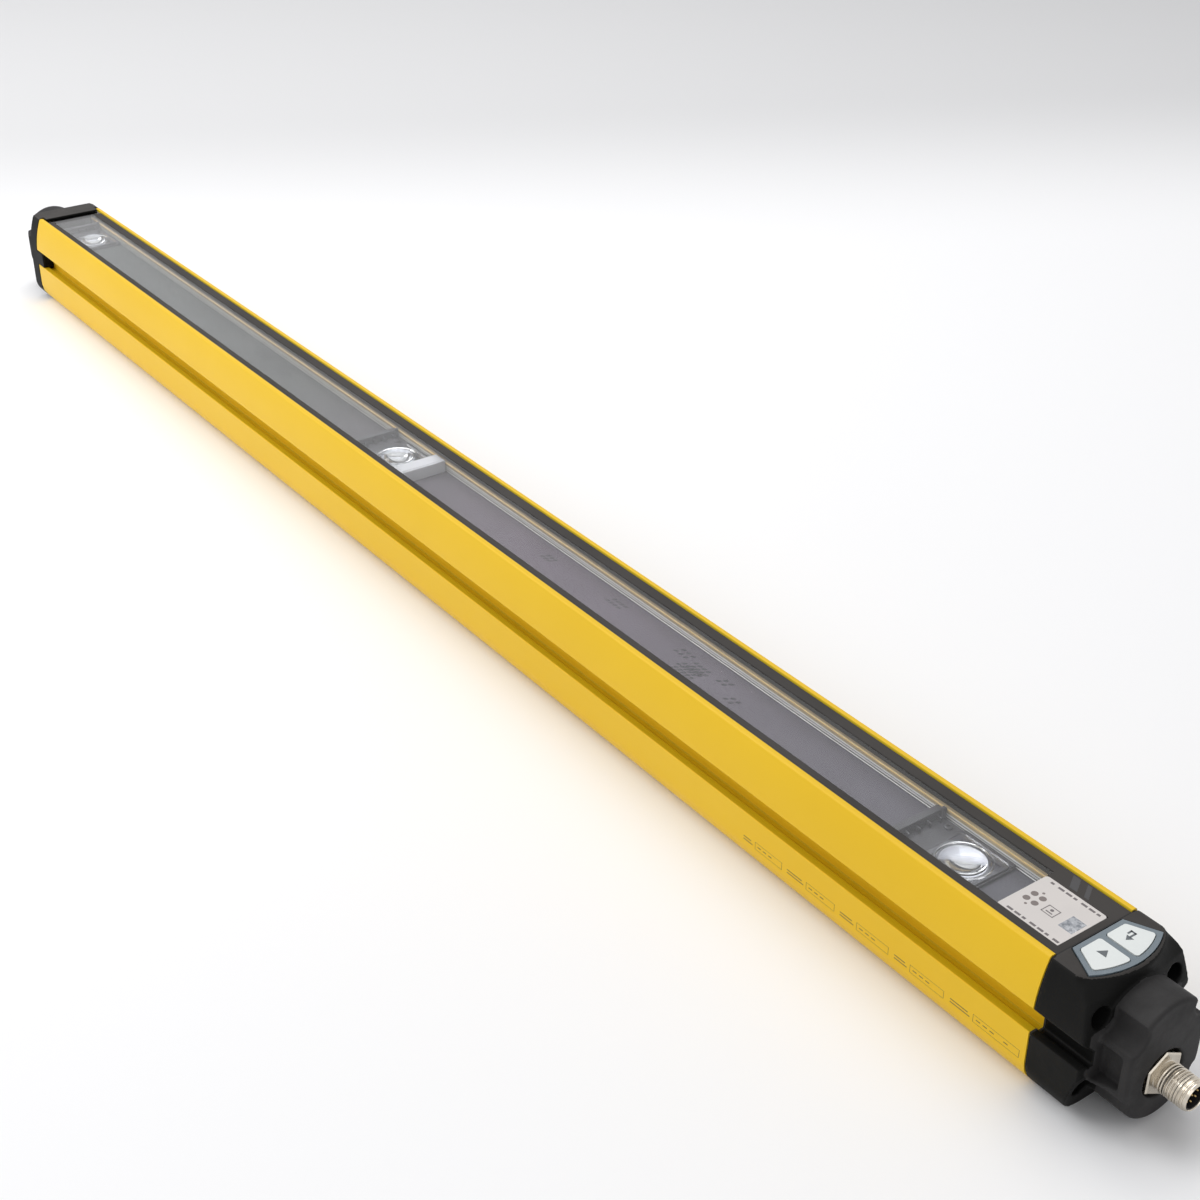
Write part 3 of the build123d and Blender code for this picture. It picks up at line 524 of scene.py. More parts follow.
# Painted reflection: the white of the cup under each lens stands in for the lamp's reflection in the lens.
LENS_REFLECTION_WHITE = Finish("lens_reflector", srgb(250, 250, 251), srgb(240, 240, 243), 0.3, 0.12, metallic=0.1,
                   patch_scale=120.0, grain_depth=0.05)
FLANK_PRINT = Finish("flank_print", srgb(84, 70, 38), srgb(72, 60, 32), 0.5, 0.1, grain_depth=0.1)
SEAL_RUBBER = Finish("seal_rubber", srgb(30, 30, 30), srgb(22, 22, 22), 0.75, 0.1, grain_depth=0.3)
SCREW_STEEL = Finish("blackened_steel", srgb(60, 60, 62), srgb(38, 38, 40), 0.28, 0.15, metallic=0.8,
                     patch_scale=300.0, grain_depth=0.2)
KEYPAD_FOIL = Finish("keypad_foil", srgb(108, 120, 128), srgb(100, 112, 120), 0.34, 0.1, shine=0.5,
                     patch_scale=60.0, grain_scale=3200.0, grain_depth=0.15, coat=0.2)
KEY_FOIL = Finish("key_foil", srgb(226, 230, 228), srgb(218, 222, 221), 0.32, 0.08, patch_scale=60.0,
                  grain_scale=3200.0, grain_depth=0.12, coat=0.2)
KEY_MARK = Finish("key_mark", srgb(92, 98, 102), srgb(84, 90, 94), 0.4, 0.1, patch_scale=90.0,
                  grain_depth=0.1)
BOARD = Finish("solder_mask", srgb(28, 84, 52), srgb(20, 64, 40), 0.3, 0.2, patch_scale=120.0,
               grain_depth=0.2)
SWITCH_PLASTIC = Finish("switch_plastic", srgb(44, 44, 46), srgb(60, 60, 62), 0.45, 0.1, grain_depth=0.2)
FLEX_FOIL = Finish("flex_foil", srgb(178, 104, 34), srgb(160, 88, 26), 0.25, 0.1, grain_depth=0.1)
NICKEL = Finish("nickel_plate", srgb(214, 206, 192), srgb(196, 186, 170), 0.2, 0.16, metallic=1.0,
                patch_scale=160.0, grain_scale=1800.0, grain_depth=0.12)
INSERT_PLASTIC = Finish("insert_plastic", srgb(26, 26, 27), srgb(34, 34, 35), 0.42, 0.12, grain_depth=0.25)
GOLD = Finish("gold_plate", srgb(196, 170, 118), srgb(176, 148, 96), 0.25, 0.1, metallic=1.0,
              grain_depth=0.05)
WIRE_SLEEVE = Finish("wire_sleeve", srgb(36, 36, 37), srgb(28, 28, 29), 0.6, 0.1, grain_depth=0.3)
MILKY = Finish("milky_plastic", srgb(193, 191, 196), srgb(182, 180, 186), 0.3, 0.1, patch_scale=60.0,
               grain_depth=0.05)
DISPLAY_FACE = Finish("display_face", srgb(54, 52, 54), srgb(44, 43, 45), 0.25, 0.1, grain_depth=0.08)
LABEL_PAPER = Finish("label_paper", srgb(212, 206, 202), srgb(204, 199, 196), 0.45, 0.12, patch_scale=40.0,
                     grain_scale=2600.0, grain_depth=0.12)
LABEL_INK = Finish("label_ink", srgb(110, 104, 104), srgb(98, 93, 94), 0.5, 0.1, grain_depth=0.1)
LABEL_SPOT = Finish("label_spot", srgb(122, 112, 108), srgb(108, 99, 96), 0.35, 0.1, grain_depth=0.1)
SILVER_PATCH = Finish("silver_patch", srgb(176, 178, 182), srgb(112, 116, 122), 0.25, 0.2, metallic=0.5,
                      patch_scale=700.0, patch_amount=1.0, grain_depth=0.3)
HOLDER_PLASTIC = Finish("holder_plastic", srgb(64, 62, 67), srgb(52, 50, 55), 0.42, 0.16, patch_scale=70.0,
                        grain_scale=1800.0, grain_depth=0.25)
DIODE_RESIN = Finish("diode_resin", srgb(180, 178, 186), srgb(150, 148, 158), 0.15, 0.1, grain_depth=0.05)
WINDOW_GLASS = ClearFinish("window_glass", (0.93, 0.945, 0.945), 0.004, ripple=0.002)
LENS_PLASTIC = ClearFinish("lens_plastic", (0.97, 0.97, 0.99), 0.01, 1.49, 0.004)
HOUSING_FINISHES = (YELLOW_COAT, BOND, WALL_TAN, WALL_PALE, WALL_GREY, GROOVE_PAINTED_SHADE)


# Mesh building


def rounded_path(points: Sequence[Point3], steps: int = 4) -> list[Point2]:
    """Round the corners of a closed outline.

    Args:
        points: Corners as (u, v, radius).
        steps: Straight pieces in each round.

    Returns:
        The outline's points.
    """
    path: list[Point2] = []
    count = len(points)
    for index, (u, v, radius) in enumerate(points):
        corner = Vector((u, v))
        before = Vector(points[index - 1][:2]) - corner
        after = Vector(points[(index + 1) % count][:2]) - corner
        if radius <= 0 or before.length < TINY or after.length < TINY:
            path.append((u, v))
            continue
        half = before.angle(after) / 2
        reach = min(radius / math.tan(half), LARGEST_ROUND * before.length, LARGEST_ROUND * after.length)
        radius = reach * math.tan(half)
        before.normalize()
        after.normalize()
        middle = corner + (before + after).normalized() * radius / math.sin(half)
        start = corner + before * reach - middle
        end = corner + after * reach - middle
        turn = start.angle_signed(end)
        for step in range(steps + 1):
            spot = middle + start @ Matrix.Rotation(turn * step / steps, 2)
            path.append((spot.x, spot.y))
    return path


def shade(mesh: bpy.types.Mesh, angle: float = SMOOTH_ANGLE) -> None:
    """Shade a mesh smooth and keep the edges sharper than an angle.

    Args:
        mesh: The mesh.
        angle: The angle in degrees.
    """
    mesh.polygons.foreach_set("use_smooth", [True] * len(mesh.polygons))
    mesh.set_sharp_from_angle(angle=math.radians(angle))
    mesh.update()


def even_normals(made: bpy.types.Object) -> None:
    """Weight an object's normals by face area, so that flat faces shade flat beside rounded edges.

    Args:
        made: The object, whose mesh is replaced.
    """
    modifier = made.modifiers.new("even_normals", "WEIGHTED_NORMAL")
    modifier.keep_sharp = True
    graph = bpy.context.evaluated_depsgraph_get()
    mesh = bpy.data.meshes.new_from_object(made.evaluated_get(graph), depsgraph=graph)
    made.modifiers.remove(modifier)
    plain = made.data
    made.data = mesh
    bpy.data.meshes.remove(plain)
    mesh.name = made.name


class Shape:
    """A mesh under construction, in millimetres, from bevelled blocks, prisms and turned forms."""

    def __init__(self) -> None:
        """Start with nothing."""
        self.mesh = bmesh.new()

    def _take(self, faces: Iterable[bmesh.types.BMFace], finish: int) -> None:
        """Give new faces their finish."""
        for face in faces:
            face.material_index = finish

    def block(self, low: Point3, high: Point3, radius: float = 0.2, finish: int = 0,
              steps: int = 2) -> None:
        """Add a block with rounded edges.

        Args:
            low: Lowest corner.
            high: Highest corner.
            radius: Radius of the edges.
            finish: Index of the finish.
            steps: Segments in each rounded edge.
        """
        new = bmesh.new()
        made = bmesh.ops.create_cube(new, size=1.0)
        size = Vector(high) - Vector(low)
        middle = (Vector(high) + Vector(low)) / 2
        for vert in made["verts"]:
            vert.co = Vector([a * b for a, b in zip(vert.co, size)]) + middle
        if radius > 0:
            bmesh.ops.bevel(new, geom=new.edges[:], offset=min(radius, LARGEST_BEVEL * min(size)),
                            segments=steps, affect="EDGES", profile=0.5)
        self._merge(new, finish)

    def prism(self, outline: Sequence[Point2], base: float, top: float, along: Along = Along.UPWARDS,
              radius: float = 0.0, finish: int = 0) -> None:
        """Add an outline extruded from one level to another.

        Args:
            outline: Points in (X, Y) for UPWARDS, or (Y, Z) for LENGTHWISE.
            base: Where it starts.
            top: Where it ends.
            along: Direction of the extrusion.
            radius: Radius of the edge round the top.
            finish: Index of the finish.
        """
        new = bmesh.new()

        def place(point: Point2, level: float) -> Vector:
            """The point at a level."""
            u, v = point
            return Vector((u, v, level)) if along is Along.UPWARDS else Vector((level, u, v))

        low = [new.verts.new(place(p, base)) for p in outline]
        high = [new.verts.new(place(p, top)) for p in outline]
        new.faces.new(list(reversed(low)))
        lid = new.faces.new(high)
        for index, vert in enumerate(low):
            after = (index + 1) % len(low)
            new.faces.new((vert, low[after], high[after], high[index]))
        if radius > 0:
            bmesh.ops.bevel(new, geom=list(lid.edges), offset=radius, segments=2, affect="EDGES", profile=0.5)
        self._merge(new, finish)

    def turn(self, profile: Sequence[Ring], centre: Point3, along: Along, ring: bool = False,
             count: int = 48, finish: int = 0) -> None:
        """Add a form turned about an axis, whose rings may have flat sides.

        Args:
            profile: (distance along the axis, radius, number of flat sides or 0) for each ring.
            centre: Point on the axis.
            along: The axis.
            ring: True if the profile is a closed loop round a hole.
            count: Points in each ring.
            finish: Index of the finish.
        """
        new = bmesh.new()
        rings: list[list[bmesh.types.BMVert]] = []
        for reach, radius, sides in profile:
            if radius < TINY:
                rings.append([new.verts.new(self._spot(reach, 0.0, 0.0, centre, along))])
                continue
            loop = []
            for index in range(count):
                angle = 2 * math.pi * index / count
                size = radius
                if sides:
                    part = math.pi / sides
                    size = radius / math.cos((angle + part) % (2 * part) - part)
                loop.append(new.verts.new(self._spot(reach, size, angle, centre, along)))
            rings.append(loop)
        pairs = list(zip(rings, rings[1:]))
        if ring:
            pairs.append((rings[-1], rings[0]))
        for first, second in pairs:
            self._bridge(new, first, second)
        self._merge(new, finish)

    @staticmethod
    def _spot(reach: float, radius: float, angle: float, centre: Point3, along: Along) -> Vector:
        """A point of a turned form."""
        u, v = radius * math.cos(angle), radius * math.sin(angle)
        if along is Along.UPWARDS:
            return Vector(centre) + Vector((u, v, reach))
        sign = 1.0 if along is Along.LENGTHWISE else -1.0
        return Vector(centre) + Vector((sign * reach, u, v))

    @staticmethod
    def _bridge(new: bmesh.types.BMesh, first: list[bmesh.types.BMVert],
                second: list[bmesh.types.BMVert]) -> None:
        """Join two rings, either of which may be a single point."""
        count = max(len(first), len(second))
        for index in range(count):
            after = (index + 1) % count
            corners = [first[index % len(first)], second[index % len(second)],
                       second[after % len(second)], first[after % len(first)]]
            kept = list(dict.fromkeys(corners))
            if len(kept) > 2:
                new.faces.new(kept)

    def _merge(self, new: bmesh.types.BMesh, finish: int) -> None:
        """Add a closed form to the mesh with its faces outwards."""
        bmesh.ops.remove_doubles(new, verts=new.verts[:], dist=1e-5)
        bmesh.ops.recalc_face_normals(new, faces=new.faces[:])
        if new.calc_volume(signed=True) < 0:
            bmesh.ops.reverse_faces(new, faces=new.faces[:])
        self._take(new.faces, finish)
        spare = bpy.data.meshes.new("spare")
        new.to_mesh(spare)
        new.free()
        self.mesh.from_mesh(spare)
        bpy.data.meshes.remove(spare)

    def build(self, name: str, finishes: Sequence[Finish | ClearFinish],
              angle: float = SMOOTH_ANGLE) -> bpy.types.Object:
        """Make the object, in metres.

        Args:
            name: The object's name.
            finishes: Finishes in the order of their indices.
            angle: Edges sharper than this stay sharp, in degrees.

        Returns:
            The object.
        """
        mesh = bpy.data.meshes.new(name)
        self.mesh.to_mesh(mesh)
        self.mesh.free()
        mesh.transform(Matrix.Scale(MM, 4))
        for finish in finishes:
            mesh.materials.append(finish.material())
        shade(mesh, angle)
        made = bpy.data.objects.new(name, mesh)
        bpy.context.scene.collection.objects.link(made)
        even_normals(made)
        return made


# Geometry trees


class ShapeTree:
    """A geometry tree with named inputs that ends in realised instances and a finish."""

    def __init__(self, name: str) -> None:
        """Start a tree that takes a geometry.

        Args:
            name: The tree's name.
        """
        self.tree = bpy.data.node_groups.new(name, "GeometryNodeTree")
        self.tree.interface.new_socket(name="Geometry", in_out="INPUT", socket_type="NodeSocketGeometry")
        self.tree.interface.new_socket(name="Geometry", in_out="OUTPUT", socket_type="NodeSocketGeometry")
        self.source = self.tree.nodes.new("NodeGroupInput")
        self.result = self.tree.nodes.new("NodeGroupOutput")
        self.finish = self.take("Finish", "NodeSocketMaterial")

    def take(self, name: str, kind: str) -> bpy.types.NodeSocket:
        """Add a named input.

        Args:
            name: The input's name.
            kind: The socket's type.

        Returns:
            The socket to wire from.
        """
        self.tree.interface.new_socket(name=name, in_out="INPUT", socket_type=kind)
        return self.source.outputs[name]

    def node(self, kind: str, inputs: dict[str | int, object] | None = None,
             **settings: object) -> bpy.types.Node:
        """Add a node, as add_node does."""
        return add_node(self.tree, kind, inputs, **settings)

    def close(self, geometry: bpy.types.NodeSocket) -> None:
        """Realise the instances, give them the finish and send them out.

        Args:
            geometry: The geometry to send out.
        """
        real = self.node("GeometryNodeRealizeInstances", {0: geometry})
        dressed = self.node("GeometryNodeSetMaterial", {"Geometry": real.outputs[0], "Material": self.finish})
        self.tree.links.new(dressed.outputs[0], self.result.inputs[0])

    def grow(self, carrier: bpy.types.Object, name: str, values: dict[str, object],
             angle: float = SMOOTH_ANGLE) -> bpy.types.Object:
        """Run the tree on a carrier and turn the result into a plain mesh.

        Args:
            carrier: The object whose mesh the tree takes. It is removed.
            name: The new object's name.
            values: Values for the named inputs.
            angle: Edges sharper than this stay sharp, in degrees.

        Returns:
            The new object.
        """
        modifier = carrier.modifiers.new("shape", "NODES")
        modifier.node_group = self.tree
        for item in self.tree.interface.items_tree:
            if item.in_out == "INPUT" and item.name in values:
                modifier[item.identifier] = values[item.name]
        graph = bpy.context.evaluated_depsgraph_get()
        mesh = bpy.data.meshes.new_from_object(carrier.evaluated_get(graph), depsgraph=graph)
        carrier.modifiers.remove(modifier)
        bpy.data.objects.remove(carrier)
        mesh.name = name
        mesh.materials.clear()
        mesh.materials.append(values["Finish"])
        mesh.polygons.foreach_set("material_index", [0] * len(mesh.polygons))
        shade(mesh, angle)
        made = bpy.data.objects.new(name, mesh)
        bpy.context.scene.collection.objects.link(made)
        even_normals(made)
        return made


def extrusion_tree() -> ShapeTree:
    """Build the tree that fills a section's outline and draws it out along X.

    Returns:
        The tree, with inputs Start and Length in metres.
    """
    shape = ShapeTree("drawn_section")
    start = shape.take("Start", "NodeSocketFloat")
    length = shape.take("Length", "NodeSocketFloat")
    curve = shape.node("GeometryNodeMeshToCurve", {"Mesh": shape.source.outputs["Geometry"]})
    face = shape.node("GeometryNodeFillCurve", {"Curve": curve.outputs[0]}, mode="TRIANGLES")
    reach = shape.node("ShaderNodeCombineXYZ", {"Z": length})
    drawn = shape.node("GeometryNodeExtrudeMesh", {
        "Mesh": face.outputs[0], "Offset": reach.outputs[0], "Offset Scale": 1.0, "Individual": False},
        mode="FACES")
    back = shape.node("GeometryNodeFlipFaces", {"Mesh": face.outputs[0]})
    joined = shape.node("GeometryNodeJoinGeometry")
    shape.tree.links.new(drawn.outputs[0], joined.inputs[0])
    shape.tree.links.new(back.outputs[0], joined.inputs[0])
    whole = shape.node("GeometryNodeMergeByDistance", {"Geometry": joined.outputs[0], "Distance": TINY})
    place = shape.node("ShaderNodeCombineXYZ", {"X": start})
    stood = shape.node("GeometryNodeTransform", {
        "Geometry": whole.outputs[0], "Translation": place.outputs[0],
        "Rotation": (math.pi / 2, 0.0, math.pi / 2)})
    shape.close(stood.outputs[0])
    return shape


def array_tree() -> ShapeTree:
    """Build the tree that puts a copy of one piece on each point of its carrier.

    Returns:
        The tree, with input Piece, an object.
    """
    shape = ShapeTree("repeated_piece")
    piece = shape.take("Piece", "NodeSocketObject")
    given = shape.node("GeometryNodeObjectInfo", {"Object": piece})
    copies = shape.node("GeometryNodeInstanceOnPoints", {
        "Points": shape.source.outputs["Geometry"], "Instance": given.outputs["Geometry"]})
    shape.close(copies.outputs[0])
    return shape


def thread_tree() -> ShapeTree:
    """Build the tree for a screw thread's ridge along X.

    Returns:
        The tree, with inputs Radius, Ridge, Turns, Length, Start and Height, the axis's level, in metres.
    """
    shape = ShapeTree("screw_thread")
    radius = shape.take("Radius", "NodeSocketFloat")
    ridge = shape.take("Ridge", "NodeSocketFloat")
    turns = shape.take("Turns", "NodeSocketFloat")
    length = shape.take("Length", "NodeSocketFloat")
    start = shape.take("Start", "NodeSocketFloat")
    height = shape.take("Height", "NodeSocketFloat")
    spiral = shape.node("GeometryNodeCurveSpiral", {
        "Resolution": 48, "Rotations": turns, "Start Radius": radius, "End Radius": radius, "Height": length})
    form = shape.node("GeometryNodeCurvePrimitiveCircle", {"Resolution": 6, "Radius": ridge}, mode="RADIUS")
    tube = shape.node("GeometryNodeCurveToMesh", {
        "Curve": spiral.outputs[0], "Profile Curve": form.outputs[0], "Fill Caps": True})
    place = shape.node("ShaderNodeCombineXYZ", {"X": start, "Z": height})
    stood = shape.node("GeometryNodeTransform", {
        "Geometry": tube.outputs[0], "Translation": place.outputs[0], "Rotation": (0.0, math.pi / 2, 0.0)})
    shape.close(stood.outputs[0])
    return shape


TREES: dict[str, ShapeTree] = {
    "extrusion": extrusion_tree(),
    "array": array_tree(),
    "thread": thread_tree(),
}


def carrier_mesh(name: str, points: Sequence[Point3],
                 edges: Sequence[tuple[int, int]] = ()) -> bpy.types.Object:
    """Make an object of bare points and edges for a tree to work on.

    Args:
        name: The object's name.
        points: Its points, in metres.
        edges: Its edges.

    Returns:
        The object.
    """
    mesh = bpy.data.meshes.new(name)
    mesh.from_pydata([Vector(p) for p in points], list(edges), [])
    made = bpy.data.objects.new(name, mesh)
    bpy.context.scene.collection.objects.link(made)
    return made


def drawn_section(name: str, outline: Sequence[Point2], start: float, end: float,
                  finish: Finish | ClearFinish, angle: float = SMOOTH_ANGLE) -> bpy.types.Object:
    """Draw a closed (Y, Z) outline out along X with the extrusion tree.

    Args:
        name: The new object's name.
        outline: The section in millimetres.
        start: Where it starts along X, in millimetres.
        end: Where it ends.
        finish: Its finish.
        angle: Edges sharper than this stay sharp, in degrees.

    Returns:
        The object.
    """
    count = len(outline)
    points = [(y * MM, z * MM, 0.0) for y, z in outline]
    loop = [(index, (index + 1) % count) for index in range(count)]
    carrier = carrier_mesh(name + "_section", points, loop)
    values = {"Start": start * MM, "Length": (end - start) * MM, "Finish": finish.material()}
    return TREES["extrusion"].grow(carrier, name, values, angle)


def repeated(name: str, piece: bpy.types.Object, spots: Sequence[Point3], finish: Finish | ClearFinish,
             angle: float = SMOOTH_ANGLE) -> bpy.types.Object:
    """Put a copy of a piece at each spot with the array tree, and remove the piece.

    Args:
        name: The new object's name.
        piece: The piece to copy, built round the origin.
        spots: Places in millimetres.
        finish: The copies' finish.
        angle: Edges sharper than this stay sharp, in degrees.

    Returns:
        The object.
    """
    carrier = carrier_mesh(name + "_spots", [(x * MM, y * MM, z * MM) for x, y, z in spots])
    made = TREES["array"].grow(carrier, name, {"Piece": piece, "Finish": finish.material()}, angle)
    bpy.data.objects.remove(piece)
    return made


def moulded_copy(node: str, name: str, finish: Finish, voxel: float, passes: int) -> bpy.types.Object:
    """Copy a CAD node's form with the soft edges of a moulding.

    Args:
        node: The CAD node.
        name: The new object's name.
        finish: Its finish.
        voxel: Size of the remeshing grid, in millimetres.
        passes: Smoothing passes.

    Returns:
        The object.
    """
    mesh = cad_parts[node].data.copy()
    work = bmesh.new()
    work.from_mesh(mesh)
    bmesh.ops.remove_doubles(work, verts=work.verts[:], dist=TINY)
    work.to_mesh(mesh)
    work.free()
    made = bpy.data.objects.new(name + "_form", mesh)
    bpy.context.scene.collection.objects.link(made)
    grid = made.modifiers.new("grid", "REMESH")
    grid.mode = "VOXEL"
    grid.voxel_size = voxel * MM
    soft = made.modifiers.new("soft", "SMOOTH")
    soft.factor = 0.5
    soft.iterations = passes
    graph = bpy.context.evaluated_depsgraph_get()
    final = bpy.data.meshes.new_from_object(made.evaluated_get(graph), depsgraph=graph)
    bpy.data.objects.remove(made)
    final.name = name
    final.materials.clear()
    final.materials.append(finish.material())
    shade(final, 60.0)
    piece = bpy.data.objects.new(name, final)
    bpy.context.scene.collection.objects.link(piece)
    return piece


def painted_crown_sheen(cap: bpy.types.Object) -> None:
    """Paint sheen on the level top of a cap: faces that look up take a paler plastic.

    Args:
        cap: The cap.
    """
    cap.data.materials.append(CROWN_SHEEN.material())
    for face in cap.data.polygons:
        # Painted sheen: faces that look up on the cap's top take the paler plastic.
        if face.normal.z > CROWN_TILT and face.center.z > CROWN_LEVEL:
            face.material_index = CapFace.CROWN


def duller_boss(cap: bpy.types.Object, shoulder: float, towards: float) -> None:
    """Give the boss of a cap its duller plastic.

    Args:
        cap: The cap.
        shoulder: Where the boss leaves the cap, in millimetres along X.
        towards: 1.0 if the boss points to +X, -1.0 if it points to -X.
    """
    cap.data.materials.append(BOSS_PLASTIC.material())
    for face in cap.data.polygons:
        if (face.center.x / MM - shoulder) * towards > 0:
            face.material_index = CapFace.BOSS


def settle(piece: bpy.types.Object, body: Body, slot: str, *nodes: str) -> bpy.types.Object:
    """Let a finished piece ride on its body, hide the CAD nodes that it stands for, and log it.

    Args:
        piece: The piece.
        body: The body that it rides on.
        slot: Not used.
        *nodes: CAD nodes that it stands for.

    Returns:
        The piece.
    """
    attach(piece, body.value)
    if nodes:
        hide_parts(*nodes)
    LOG.info("%s: %d faces on %s", piece.name, len(piece.data.polygons), body.value)
    return piece


def dress(node: str, finish: Finish | ClearFinish) -> None:
    """Give a CAD node that stays in view its finish.

    Args:
        node: The node.
        finish: Its finish.
    """
    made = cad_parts[node]
    made.data.materials.clear()
    made.data.materials.append(finish.material())
    LOG.info("%s: CAD node in %s", node, finish.name)


def node_span(node: str) -> tuple[Vector, Vector]:
    """A CAD node's lowest and highest corner in millimetres."""
    low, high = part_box(node)
    return low / MM, high / MM


@dataclass(frozen=True)
class Bead:
    """A fine bead along the channel's two walls, in millimetres."""

    level: float
    thickness: float
    finish: Finish
    word: str


@dataclass
class HousingProfile:
    """The extruded housing: flanks, hooked side grooves, ridges and the channel for the optics.

    Sizes are in millimetres: across from the middle plane, levels from the rear face.
    """

    half_width: float = 26.0
    depth: float = 55.5
    rear_radius: float = 11.0
    ridge_half: float = 20.9
    ridge_radius: float = 1.8
    flank_bulge: float = 0.85
    lower_lip: float = 25.1
    upper_lip: float = 35.4
    lip_setback: float = 0.3
    lip_radius: float = 0.45
    groove_mouth: float = 22.6
    groove_rim: float = 21.1
    groove_root: float = 18.9
    groove_hook: float = 19.5
    groove_foot: float = 23.6
    groove_crown: float = 28.9
    groove_top: float = 29.6
    window_half: float = 18.25
    window_ledge: float = 51.0
    dark_band: float = 49.5
    tan_band: float = 46.1
    pale_band: float = 44.2
    optics_half: float = 14.35
    tray_base: float = 41.2
    rail_half: float = 13.25
    rail_base: float = 38.7
    board_half: float = 16.3
    board_base: float = 17.0
    floor_half: float = 14.3
    floor_level: float = 4.0
    slack: float = 0.1
    groove_shade: float = 25.2
    ridge_shade_width: float = 0.45
    ridge_shade_rise: float = 3.7
    beads: tuple[Bead, ...] = (
        Bead(47.8, 0.42, GOLD_BEAD, "gold"), Bead(45.2, 0.14, WALL_LINE, "dark"),
        Bead(43.4, 0.24, WALL_PALE, "pale"))
    fields: tuple[tuple[float, float, float, float], ...] = (
        (-148.0, -141.0, -125.0, 11.6), (-122.0, -111.0, -95.0, 11.6), (-92.0, -83.0, -66.0, 11.4),
        (-63.0, -55.0, -38.0, 11.4), (-35.0, -24.0, -2.5, 11.6))
    field_height: float = 3.4
    field_line: float = 0.16
    field_post: float = 0.2
    field_inset: float = 1.5
    stroke: float = 0.42
    bar_base: float = 0.8
    bar_pitch: float = 1.3
    dash: float = 2.0
    dash_pitch: float = 3.2
    dash_group: int = 4
    print_rise: float = 0.003

    def flank(self, steps: int = 12) -> list[Point3]:
        """The bulging flank from the upper lip to the ridge, as (y, z, 0) points between its ends."""
        start = Vector((self.half_width - self.lip_setback, self.upper_lip))
        end = Vector((self.ridge_half, self.depth))
        chord = end - start
        normal = Vector((chord.y, -chord.x)).normalized()
        points = []
        for step in range(1, steps):
            share = step / steps
            bulge = self.flank_bulge * 4 * share * (1 - share)
            spot = start + chord * share + normal * bulge
            points.append((spot.x, spot.y, 0.0))
        return points

    def groove(self) -> list[Point3]:
        """Corners of the hooked side groove above the lower lip, as (y, z, radius)."""
        return [
            (self.groove_mouth, self.lower_lip, 0.3), (self.groove_rim, self.groove_foot, 0.4),
            (self.groove_root, self.groove_foot, 0.4), (self.groove_root, self.groove_crown, 0.3),
            (self.groove_hook, self.groove_top, 0.4),
        ]

    def chamber(self) -> list[Point3]:
        """Corners of the channel's walls and the space under the tray, as (y, z, radius)."""
        walls = [(self.optics_half, level, 0.0) for level in (self.dark_band, self.tan_band, self.pale_band)]
        return [
            (self.optics_half, self.window_ledge, 0.2), *walls, (self.optics_half, self.tray_base, 0.0),
            (self.rail_half, self.tray_base, 0.2), (self.rail_half, self.rail_base, 0.2),
            (self.board_half, self.rail_base, 0.0), (self.board_half, self.board_base, 0.0),
            (self.floor_half, self.board_base, 0.0), (self.floor_half, self.floor_level, 0.3),
        ]

    def half_section(self) -> list[Point3]:
        """Corners of the right half, from the rear face round the outside to the chamber's floor."""
        side, lip = self.half_width, self.lip_radius
        return [
            (side, 0.0, self.rear_radius), (side, self.lower_lip, lip), *self.groove(),
            (side - self.lip_setback, self.upper_lip, lip), *self.flank(),
            (self.ridge_half, self.depth, self.ridge_radius), (self.window_half, self.depth, 0.8),
            (self.window_half, self.window_ledge, 0.0), *self.chamber(),
        ]

    def face_at(self, middle: Vector) -> HousingFace:
        """Which of the housing's surfaces a face belongs to; the groove's hollow and the ridge's inner wall
        get the painted shade.

        Args:
            middle: The face's middle in millimetres.

        Returns:
            The surface.
        """
        across, level, slack = abs(middle.y), middle.z, self.slack
        foot = self.groove_foot - 2 * slack
        # Painted shade: the groove's hollow takes the darker yellow.
        if self.groove_root - slack < across < self.groove_shade and foot < level < self.lower_lip + slack:
            return HousingFace.GROOVE
        # Painted shade: so does the ridge's inner wall above the window.
        on_ridge = self.window_half - slack < across < self.window_half + self.ridge_shade_width
        if on_ridge and level > self.window_ledge + self.ridge_shade_rise:
            return HousingFace.GROOVE
        reach = self.window_half if level > self.window_ledge - 3 * slack else self.board_half + slack
        if across > reach - slack / 2 or not self.floor_level - slack < level < self.window_ledge + slack:
            return HousingFace.COAT
        bands = (self.dark_band, self.tan_band, self.pale_band)
        return HousingFace(HousingFace.DARK_WALL + sum(level < band for band in bands))

    def build(self) -> None:
        """Draw the section out, give the channel's walls their bare metal and paint shade into the groove and
        onto the ridge's inner wall.
        """
        low, high = node_span("housing_profile")
        half = self.half_section()
        corners = half + [(-y, z, radius) for y, z, radius in reversed(half)]
        outline = rounded_path(corners)
        outline.reverse()
        piece = drawn_section("housing", outline, low.x, high.x, HOUSING_FINISHES[HousingFace.COAT], 24.0)
        for finish in HOUSING_FINISHES[HousingFace.DARK_WALL:]:
            piece.data.materials.append(finish.material())
        for face in piece.data.polygons:
            if abs(face.normal.x) < 0.5:
                face.material_index = self.face_at(face.center / MM)
        settle(piece, Body.BARRIER, "housing_paint", "housing_profile")
        self.flank_print(high.x)
        self.wall_beads(low.x, high.x)

